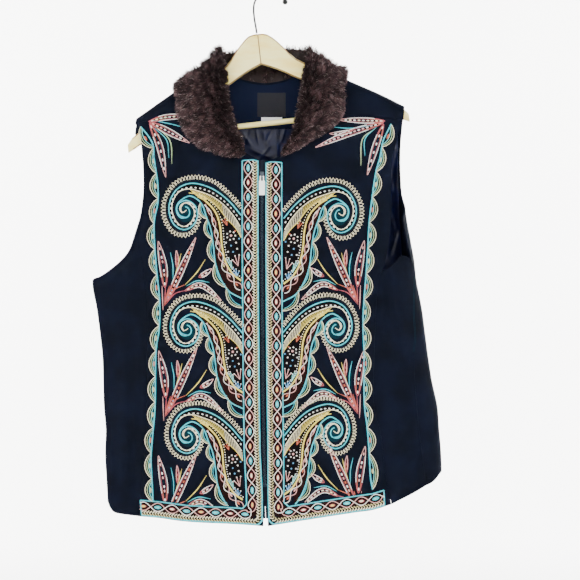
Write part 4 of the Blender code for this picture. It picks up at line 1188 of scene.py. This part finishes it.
# %% Collar stations
# where the collar's inner edge, crest and outer edge lie, from the left point round the neck
COLLAR_COLUMNS = ("in_x", "in_z", "in_side", "crest_x", "crest_y", "crest_z", "out_x", "out_z", "out_side")
COLLAR = (
    (-37, -257, -1, -41, None, -260, -45, -263, -1),
    (-40, -245, -1, -56, None, -253, -73, -259, -1),
    (-46, -227, -1, -76, None, -237, -108, -245, -1),
    (-54, -207, -1, -92, None, -215, -129, -224, -1),
    (-61, -182, -1, -101, None, -189, -141, -199, -1),
    (-65, -156, -1, -105, -36, -158, -146, -174, -1),
    (-68, -130, -1, -106, -22, -122, -144, -157, 1),
    (-70, -113, -1, -96, 2, -107, -134, -176, 1),
    (-69, -112, 1, -84, 18, -99, -112, -188, 1),
    (-62, -124, 1, -62, 27, -96, -80, -196, 1),
    (-40, -137, 1, -36, 32, -90, -42, -199, 1),
    (-9, -142, 1, -9, 34, -88, -9, -200, 1),
    (23, -137, 1, 18, 32, -87, 28, -198, 1),
    (44, -125, 1, 44, 26, -89, 64, -190, 1),
    (54, -112, 1, 64, 18, -94, 92, -180, 1),
    (56, -114, -1, 79, 2, -102, 110, -166, 1),
    (53, -132, -1, 86, -22, -112, 117, -142, 1),
    (50, -155, -1, 85, -36, -144, 118, -164, -1),
    (46, -177, -1, 82, None, -175, 115, -188, -1),
    (41, -203, -1, 76, None, -195, 107, -203, -1),
    (37, -224, -1, 66, None, -213, 92, -217, -1),
    (28, -240, -1, 47, None, -231, 66, -234, -1),
    (21, -251, -1, 30, None, -248, 42, -251, -1),
    (17, -260, -1, 20, None, -260, 25, -259, -1),
)
COLLAR_THICK = 15.0
COLLAR_LIFT = 1.2
SHOULDER_LIFT = 5
COLLAR_LOFT = 5.0
STATION_STEPS = 8
PELT_ACROSS = 20
PELT_EDGE = 0.06
PELT_LOW = 1.5
stations = [dict(zip(COLLAR_COLUMNS, row)) for row in COLLAR]
print(len(stations), "collar stations")


# %% Collar surface
def wrap_line(x_name, z_name, side_name):
    """Stations on the cloth: place across, and way down from the ridge, negative in front."""
    x, z, side = np.array([(s[x_name], s[z_name], s[side_name]) for s in stations], float).T
    return np.stack((x, arc_of(np.maximum(ridge(x) - z, 0) * side)), -1)


def through(points, at):
    """A smooth curve through points, read at places counted in points."""
    p = np.vstack((2 * points[0] - points[1], points, 2 * points[-1] - points[-2]))
    i = np.clip(at.astype(int), 0, len(points) - 2)
    t = (at - i)[:, None]
    return blend_four(p[i], p[i + 1], p[i + 2], p[i + 3], t)


def above_cloth(line, lift):
    x, drop = line[..., 0], drop_of(line[..., 1])
    return skin(x, ridge(x) - np.abs(drop), np.where(drop < 0, -1, 1), -lift)


def seat(line):
    """Gap under the collar, wider where it turns over the shoulder."""
    return COLLAR_LIFT + SHOULDER_LIFT * np.exp(-(line[..., 1] / SHOULDER_ROUND / 2)**2)


half = COLLAR_THICK / 2
at = np.linspace(0, len(stations) - 1, (len(stations) - 1) * STATION_STEPS + 1)
crest_lift = half + COLLAR_LIFT + COLLAR_LOFT
crest = np.array([(s["crest_x"], s["crest_y"], s["crest_z"]) if s["crest_y"] is not None
                  else skin(s["crest_x"], s["crest_z"], -1, -crest_lift) for s in stations], float)
inner = through(wrap_line("in_x", "in_z", "in_side"), at)
outer = through(wrap_line("out_x", "out_z", "out_side"), at)
crest = through(crest, at)
start, end = above_cloth(inner, half + seat(inner)), above_cloth(outer, half + seat(outer))
w = np.linspace(PELT_EDGE, 1 - PELT_EDGE, PELT_ACROSS + 1)[None, :, None]
under = (1 - w) * inner[:, None] + w * outer[:, None]
low = above_cloth(under, seat(under))
knee = 2 * crest - (start + end) / 2
spine = (1 - w)**2 * start[:, None] + 2 * w * (1 - w) * knee[:, None] + w**2 * end[:, None]
rise = spine - low
rise /= np.linalg.norm(rise, axis=-1, keepdims=True)
top = spine - PELT_LOW * rise
comb = np.gradient(spine, axis=1)
comb /= np.linalg.norm(comb, axis=-1, keepdims=True)
print("collar grid", top.shape)


# %% Pelt and hair finishes
# spun acrylic hair has a low, broad gloss, so that tufts shine softly where they turn to the light
# the last tone, a pale grey, is a painted highlight for the streaks of sparkle in the pile
HAIR_TONES = {"dark": "#221718", "brown": "#463335", "light": "#745b5c", "silver": "#a39290"}
hair = [new_finish("faux_fur_" + name, code, 0.6, Specular_IOR_Level=0.25, IOR=1.45)
        for name, code in HAIR_TONES.items()]
pelt = wall("collar_pelt", top, low, hair[0])
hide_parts("collar")
print(pelt.name, len(pelt.data.polygons), "faces")


# %% Fur
HAIRS = 78000
HAIR_LENGTH = 12.5
HAIR_WIDTH = 0.75
TUFT = 6.0
HAIR_RISE = 0.65
EDGE_SHARE = 0.16
# share of the way from the inner to the outer edge, and the lean there in degrees
LEAN_AT, LEAN = (0, 0.08, 0.2, 0.5, 0.85, 1), (-80, -50, 5, 38, 62, 84)
SAG = np.array((0, 0, -0.22))
# millimetres between two rows of the grid, then how far a whole tuft and a single hair swing
ROW_GAP, TUFT_SWING, HAIR_SWING = 3.2, 0.3, 0.16
LENGTHS, WIDTHS, TUFT_PULL = (0.7, 1.15), (0.6, 1.2), (0.2, 0.65)
PAINTED_GLINT_SHARE = 0.05


def hairs(name, first, last, count, seed):
    """Blades rooted between two rows of the collar grid."""
    random = np.random.default_rng(seed)
    grid = top[first:last + 1]
    corner = grid[:-1, :-1]
    cell = np.linalg.norm(np.cross(grid[1:, :-1] - corner, grid[:-1, 1:] - corner), axis=-1)
    edge = int(count * EDGE_SHARE)
    pick = random.choice(cell.size, count, p=cell.ravel() / cell.sum())
    i, j = np.unravel_index(pick, cell.shape)
    i = i + first
    s, t = random.random(count), random.random(count)
    down = np.zeros(count)
    j[:edge], t[:edge] = 0, 0.0
    j[edge:2 * edge], t[edge:2 * edge] = PELT_ACROSS - 1, 1.0
    down[:2 * edge] = random.random(2 * edge)

    def at_root(grid):
        s1, t1 = s[:, None], t[:, None]
        return ((1 - s1) * ((1 - t1) * grid[i, j] + t1 * grid[i, j + 1])
                + s1 * ((1 - t1) * grid[i + 1, j] + t1 * grid[i + 1, j + 1]))

    root = at_root(top) * (1 - down[:, None]) + at_root(low) * down[:, None]
    up, out = at_root(rise), at_root(comb)
    share = PELT_EDGE + (j + t) / PELT_ACROSS * (1 - 2 * PELT_EDGE)
    width = np.linalg.norm(end - start, axis=1)[i]
    lean = np.radians(np.interp(share, LEAN_AT, LEAN))
    tuft = np.stack((((i + s) * ROW_GAP / TUFT).astype(int), (share * width * 1.4 / TUFT).astype(int)), -1)
    tuft = np.unique(tuft, axis=0, return_inverse=True)[1].ravel()
    swing = random.normal(0, TUFT_SWING, (tuft.max() + 1, 3))[tuft] + random.normal(0, HAIR_SWING, (count, 3))
    way = up * np.cos(lean)[:, None] + out * np.sin(lean)[:, None] + swing + SAG
    way[:, 2] = np.minimum(way[:, 2], HAIR_RISE)
    way /= np.linalg.norm(way, axis=1, keepdims=True)
    long = HAIR_LENGTH * random.uniform(*LENGTHS, count)
    long *= 1 - 0.15 * np.clip(up[:, 2], 0, 1)**2
    reach = np.abs(np.sin(lean)) + 0.15
    room = np.minimum(share, 1 - share) * width * 1.3 + random.uniform(1.5, 4.5, count)
    long = np.minimum(long, room / reach)
    ends = np.minimum(i + s, len(top) - 1 - i - s) / (2.0 * STATION_STEPS)
    long *= np.clip(0.45 + 0.55 * ends, 0, 1)
    in_tuft = np.maximum(np.bincount(tuft), 1)
    middle = np.stack([np.bincount(tuft, root[:, k]) / in_tuft for k in range(3)], -1)
    pull = (middle[tuft] - root) * random.uniform(*TUFT_PULL, count)[:, None]
    tip = root + way * long[:, None] + pull
    mid = root + way * long[:, None] * 0.55 + pull * 0.3 + up * 0.5
    flat = np.cross(way, up + random.normal(0, 0.5, (count, 3)))
    flat /= np.linalg.norm(flat, axis=1, keepdims=True)
    thick = HAIR_WIDTH * random.uniform(*WIDTHS, count)[:, None] / 2
    points = np.stack((root - flat * thick, root + flat * thick, mid + flat * thick * 0.75,
                       mid - flat * thick * 0.75, tip), 1).reshape(-1, 3)
    base = np.arange(count) * 5
    faces = [f for b in base.tolist() for f in ((b, b + 1, b + 2, b + 3), (b + 3, b + 2, b + 4))]
    tone = random.random(tuft.max() + 1)[tuft] * 0.6 + random.random(count) * 0.4
    # painted shade: hairs towards the neck edge take darker tones, for the shade deep in the roll
    tone -= 0.35 * np.clip(1 - share / 0.35, 0, 1)
    lower = np.where(tone > 0.55, 1, 0)
    upper = np.select((tone > 0.74, tone > 0.42), (2, 1), 0)
    # a few hair tips take the pale tone as painted highlight
    upper[random.random(count) < PAINTED_GLINT_SHARE] = 3
    piece = add_piece(name, points, faces, hair, marks=np.stack((lower, upper), 1).ravel(), closed=False)
    return piece


rows = len(top) - 1
fur = []
for k, (name, share) in enumerate((("left", 0.37), ("back", 0.26), ("right", 0.37))):
    fur.append(hairs("collar_fur_" + name, k * rows // 3, (k + 1) * rows // 3, int(HAIRS * share), 5 + k))
print("hairs:", [len(f.data.polygons) // 2 for f in fur])

# %% [markdown]
# ## Inside the neck and the right armhole
#
# A felt-backed facing is sewn inside the back neck, with a woven label and a small care label on it.
# Below it hangs a satin lining that has crumpled in storage. Satin is smooth filament yarn, so its
# creases carry sharp, pale lights. They are raised in the mesh, because light has to run along them.

# %% Finishes of the inner cloth
# satin's long floats give a broad clear shine; twill, a woven label and a ribbon stay matt
satin = new_finish("navy_satin_lining", "#0b1029", 0.3,
                   {"mm": 18, "detail": 2, "dark": "#060a22", "light": "#0c1334"},
                   {"mm": 4, "detail": 3, "depth": 0.3, "strength": 0.35}, Specular_IOR_Level=0.3)
facing_cloth = new_finish("navy_twill_facing", "#040c22", 0.9, relief={"mm": 1.2, "detail": 2, "depth": 0.2},
                          Specular_IOR_Level=0.15)
label_cloth = new_finish("grey_woven_label", "#17171d", 0.75, relief={"mm": 0.9, "detail": 1, "depth": 0.15},
                         Specular_IOR_Level=0.2)
care_cloth = new_finish("white_printed_ribbon", "#dedede", 0.6, relief={"mm": 0.9, "detail": 1, "depth": 0.1})
print("inner finishes:", satin.name, facing_cloth.name, label_cloth.name, care_cloth.name)

# %% Creases of the satin
CREASE_COLUMNS = ("x0", "z0", "x1", "z1", "width", "height")
NECK_CREASES = (
    (13.4, -210, 13.4, -300, 1.3, 1.5), (-46, -215, -30, -238, 2.6, 1.5), (-33, -214, -42, -240, 2.2, -1.2),
    (-22, -213, -18, -234, 2.0, 1.3), (-10, -216, -4, -240, 3.2, 1.6), (3, -216, -8, -236, 2.4, -1.4),
    (-30, -245, 0, -258, 3.0, 1.4), (0, -240, -20, -264, 2.2, 1.2), (24, -214, 17, -236, 2.4, 1.5),
    (34, -218, 28, -246, 2.8, -1.4), (20, -246, 40, -262, 2.8, 1.3), (-62, -220, -52, -262, 3.4, 1.4),
    (-110, -222, -96, -286, 5.0, 1.5), (70, -220, 84, -280, 4.5, 1.5), (112, -218, 100, -290, 5.0, 1.4),
)
CREASE_FADE = (6, 12, 12)
ARM_CREASES = (
    (184, -214, 200, -246, 2.6, 1.5), (200, -238, 192, -290, 2.4, 1.4), (186, -262, 199, -318, 2.8, 1.5),
    (201, -300, 190, -352, 2.6, -1.3), (188, -330, 203, -384, 3.0, 1.5), (206, -372, 192, -412, 2.6, 1.4),
    (176, -250, 182, -330, 4.0, 1.4), (170, -350, 184, -424, 4.2, 1.4),
)


def crumple(x, z, rows):
    """Height of a set of creases, each fading out at its ends."""
    total = np.zeros_like(x)
    for row in rows:
        total = total + raised(x, z, dict(zip(CREASE_COLUMNS, row)), *CREASE_FADE)
    return total


print(len(NECK_CREASES), "creases in the neck and", len(ARM_CREASES), "in the armhole")


# %% Inner layers
def layer(name, node, finish, slot, top, bottom, columns, rows, depth, thick, creases=()):
    """A thin sheet inside the back between two curves, raised by its creases."""
    top, bottom = spline(top, columns), spline(bottom, columns)
    v = np.linspace(0, 1, rows + 1)[:, None, None]
    plane = (1 - v) * top[None] + v * bottom[None]
    x, z = plane[..., 0], plane[..., 1]
    lift = crumple(x, z, creases)
    piece = wall(name, skin(x, z, 1, depth + lift), skin(x, z, 1, depth + thick + lift), finish)
    if node:
        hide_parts(node)
    return piece


FACING_TOP = ((-58, -128), (-40, -139), (-9, -144), (24, -139), (42, -128))
FACING_FOOT = ((-96, -211), (-9, -213), (80, -211))
LINING_TOP = ((-150, -214), (-96, -211.5), (-9, -213.5), (80, -211.5), (145, -214))
LINING_FOOT = ((-158, -300), (-96, -300), (-9, -300), (80, -300), (156, -300))
ARM_LINING_TOP = ((150, -216), (178, -217), (203, -222))
ARM_LINING_FOOT = ((158, -436), (190, -436), (212, -432))
LABEL_TOP, LABEL_FOOT = ((-19.7, -156), (25.4, -156)), ((-19.7, -193.7), (25.4, -193.7))
CARE_TOP, CARE_FOOT = ((-13.4, -194.4), (19.7, -194.4)), ((-13.4, -203.4), (19.7, -203.4))
# how far below the felt's outer face each layer lies, and how thick it is
FACING, LINING, LABEL = (3.6, 0.9), (4.9, 0.7), (5.0, 0.6)
facing = layer("neck_facing_cloth", "neck_facing", facing_cloth, "facing", FACING_TOP, FACING_FOOT, 40, 18,
               *FACING)
lining = layer("back_lining_satin", "back_lining", satin, "lining", LINING_TOP, LINING_FOOT, 220, 60,
               *LINING, NECK_CREASES)
arm_lining = layer("armhole_lining_satin", None, satin, "lining", ARM_LINING_TOP, ARM_LINING_FOOT, 44, 130,
                   *LINING, ARM_CREASES)
label = layer("neck_label_cloth", "label", label_cloth, "neck_label", LABEL_TOP, LABEL_FOOT, 12, 10, *LABEL)
care = layer("care_label_cloth", "care_label", care_cloth, "care_label", CARE_TOP, CARE_FOOT, 10, 3, *LABEL)
print("inner sheets made")

# %% [markdown]
# ## Seams
#
# Each seam is pressed open, so a strip of felt lies behind it. It also closes the hairline gap that
# the rigid solids leave between panels. On the right side seam two rows of thread show.


# %% Seam allowances
ALLOWANCE_HALF, ALLOWANCE_DEPTH, ALLOWANCE_THICK = 5, 2.75, 0.8


def allowance(which, line):
    """A strip of felt behind a princess seam, which starts a little below the armhole."""
    x = line[3:-1, :1] + np.linspace(-ALLOWANCE_HALF, ALLOWANCE_HALF, 5)
    z = np.repeat(line[3:-1, 1:], 5, 1)
    piece = wall("seam_allowance_princess_" + which, skin(x, z, -1, ALLOWANCE_DEPTH),
                 skin(x, z, -1, ALLOWANCE_DEPTH + ALLOWANCE_THICK), felt)
    return piece


allowances = [allowance("left", princess_left), allowance("right", princess_right)]
stitch = Stitching("side_seam_stitches_right")
SEAM_STITCHES = (276, 352)
seam = even([(x / GRID + GRID_CORNER[0], GRID_CORNER[1] - z / GRID) for x, z in SIDE_SEAM_RIGHT], 2.0)
seam = seam[(seam[:, 1] > SEAM_STITCHES[0]) & (seam[:, 1] < SEAM_STITCHES[1])]
for shift in (-1.0, -2.2):
    stitch.thread(seam + (shift, 0), "deep_teal", 0.6, 0.25)
side_stitches = stitch.finish()

# %% [markdown]
# ## Zip
#
# Two woven tapes are sewn behind the front edges and carry the moulded teeth, 2.2 mm from one to the
# next. The slider, the stop and the pull tab keep the frame's exact shapes, because the tab turns,
# and they take metal finishes. The tab is bright plated zinc, the teeth are dark, with small lights.

# %% Zip finishes
# a tape's tight weave is matt; the teeth are nearly black metal, and only the tab is bright
tape_cloth = new_finish("navy_woven_tape", "#060b1a", 0.8, Specular_IOR_Level=0.2,
                        relief={"mm": 1.0, "detail": 1, "depth": 0.2, "stretch": (1, 1, 2.5)})
tooth_metal = new_finish("blackened_brass_teeth", "#2b323b", 0.3, metallic=1.0)
slider_metal = new_finish("burnished_zinc_slider", "#4a5058", 0.38, metallic=1.0)
tab_metal = new_finish("bright_plated_zinc", "#f2f2f0", 0.3, metallic=1.0)
print("zip finishes:", tape_cloth.name, tooth_metal.name, slider_metal.name, tab_metal.name)

# %% Tapes and teeth
ZIP_TOP, TAPE_END = -266.0, -824.0
TAPE_NEAR, TAPE_FAR = 0.2, 14
TAPE_DEPTH, TAPE_BACK = 2.8, 3.6
TAPE_ROWS = 90
TEETH_TOP, TEETH_END, TOOTH_PITCH = -296.0, -770.0, 2.2
# a tooth reaches across the middle and narrows there; how far down each corner lies, and its two faces
TOOTH_ROOT, TOOTH_NOSE = 2.2, -0.75
TOOTH_DROPS = (0.25, 0.45, 1.3, 1.5)
TOOTH_FACES = (0.75, 2.4)


def zip_line(z):
    """Middle of the zip at each height."""
    left, right = np.array(ZIP_EDGE_LEFT, float), np.array(ZIP_EDGE_RIGHT, float)
    return np.interp(-z, -left[:, 1], (left[:, 0] + right[:, 0]) / 2)


for which, way in (("left", -1), ("right", 1)):
    z = np.linspace(ZIP_TOP, TAPE_END, TAPE_ROWS)[:, None] * np.ones((1, 5))
    x = zip_line(z) + way * np.linspace(TAPE_NEAR, TAPE_FAR, 5)
    tape = wall("tape_" + which, skin(x, z, -1, TAPE_DEPTH), skin(x, z, -1, TAPE_BACK), tape_cloth)
    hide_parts("zip_tape_" + which)
    points, faces = [], []
    tops = np.arange(TEETH_TOP - (TOOTH_PITCH / 2 if way > 0 else 0), TEETH_END, -TOOTH_PITCH)
    for tooth_top in tops:
        nose, root = way * TOOTH_NOSE, way * TOOTH_ROOT
        xs = np.array([zip_line(tooth_top) + out for out in (nose, root, root, nose)])
        zs = np.array([tooth_top - drop for drop in TOOTH_DROPS])
        b = len(points)
        for depth in TOOTH_FACES:
            points += skin(xs, zs, -1, depth).tolist()
        faces += [(b, b + 1, b + 2, b + 3), (b + 7, b + 6, b + 5, b + 4)]
        faces += [(b + k, b + 4 + k, b + 4 + (k + 1) % 4, b + (k + 1) % 4) for k in range(4)]
    row = add_piece("moulded_teeth_" + which, points, faces, tooth_metal, sharp=20)
    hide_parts("zip_teeth_" + which)


def refinish(node, finish):
    """A better material on a frame node whose shape stays."""
    for held in bpy.data.objects[node].material_slots:
        held.material = finish


refinish("zip_slider", slider_metal)
refinish("zip_stop", tooth_metal)
refinish("pull_tab", tab_metal)
print("teeth:", len(tops), "a side")

# %% [markdown]
# ## Hanger
#
# The arms and the bar are pale beech under clear lacquer, so they take a soft clear reflection over
# fine, long grain. The hook is dark steel wire. Their solids have the real shape and stay.

# %% Hanger finishes
# planed beech is even and pale, and its lacquer adds a thin clear shine over the grain
beech = new_finish("lacquered_pale_beech", "#f7e9b4", 0.35,
                   {"mm": 14, "detail": 4, "stretch": (0.25, 1, 1), "dark": "#f9df78", "light": "#fff2a4"},
                   {"mm": 3, "detail": 2, "stretch": (0.15, 1, 1), "depth": 0.1, "strength": 0.3},
                   Coat_Weight=0.3, Coat_Roughness=0.15)
# drawn steel wire with a dark coating, smooth enough for a narrow light along it
wire = new_finish("dark_steel_wire", "#2c2c2c", 0.35, metallic=1.0)
for node in ("hanger_arm_left", "hanger_arm_right", "hanger_bar"):
    refinish(node, beech)
refinish("hanger_hook", wire)
print("hanger finishes:", beech.name, wire.name)

# %% [markdown]
# A thin brown line follows each edge of the arms, as painted shade where the rounded edge turns away
# from the light, and another marks the joint. They are fine tubes set into the wood.

# %% Painted edge shade and the joint line
HANGER_TILT = math.radians(6.3)
CROWN = (-18.9, -64.6)
ARM_COLUMNS = ("out", "top", "foot")
ARM = (
    (0.15, 0, 48.7), (8, 0.6, 51.8), (15, 2.6, 54.8), (22, 8, 58), (30, 16, 62), (38, 25.5, 66.5),
    (46, 36, 71.5), (56, 46.2, 77), (95, 70, 97.5), (134, 93, 118), (190, 125.4, 147.4),
    (214, 141.2, 160),
)
EDGE_LINE = 0.8
# painted shade along the edges, and the dark joint, in a brown duller than the lacquer
edge_shade_and_joint_paint = new_finish("scorched_beech_edge", "#7d4a14", 0.5)
# how far forward each line lies, and how far in from the edge
TOP_LINE, FOOT_LINE, JOINT_LINE = (-4.9, 1.9), (-5.6, -0.9), -6.4


def on_hanger(u, y, v):
    """Out from the middle and down from the crown, turned to the hanger's tilt."""
    c, s = math.cos(HANGER_TILT), math.sin(HANGER_TILT)
    return np.array((CROWN[0] + u * c + v * s, y, CROWN[1] + u * s - v * c))


def tube(line, radius, sides=6):
    """Rings round a line, with closed ends."""
    line = np.asarray(line, float)
    way = np.gradient(line, axis=0)
    way /= np.linalg.norm(way, axis=1, keepdims=True)
    side = np.cross(way, (0, 1, 0))
    side /= np.linalg.norm(side, axis=1, keepdims=True)
    a = np.linspace(0, 2 * math.pi, sides, endpoint=False)[None, :, None]
    rings = line[:, None] + radius * (np.cos(a) * side[:, None] + np.sin(a) * np.cross(side, way)[:, None])
    n = len(line)
    faces = [(j * sides + i, j * sides + (i + 1) % sides, (j + 1) * sides + (i + 1) % sides,
              (j + 1) * sides + i) for j in range(n - 1) for i in range(sides)]
    return rings.reshape(-1, 3), faces + [tuple(range(sides)), tuple(range(n * sides - sides, n * sides))]


arms = [dict(zip(ARM_COLUMNS, row)) for row in ARM]
for which, way in (("left", -1), ("right", 1)):
    points, faces = [], []
    lines = [[on_hanger(way * a["out"], y, a[edge] + inset) for a in arms]
             for edge, (y, inset) in (("top", TOP_LINE), ("foot", FOOT_LINE))]
    if way < 0:
        lines.append([on_hanger(0, JOINT_LINE, v) for v in np.linspace(3, 47.5, 12)])
    for line in lines:
        rings, ring_faces = tube(spline(line, 60), EDGE_LINE)
        faces += [tuple(len(points) + i for i in f) for f in ring_faces]
        points += rings.tolist()
    # the edge tubes are painted shade; the extra tube on the left arm is the dark joint
    add_piece("hanger_edges_" + which, points, faces, edge_shade_and_joint_paint)
print("edge lines made")

# %% [markdown]
# ## What each piece is
#
# The cloth is twelve sheets, and the collar is a padded roll.

# %% Pieces
print("12 sheets and one padded roll")
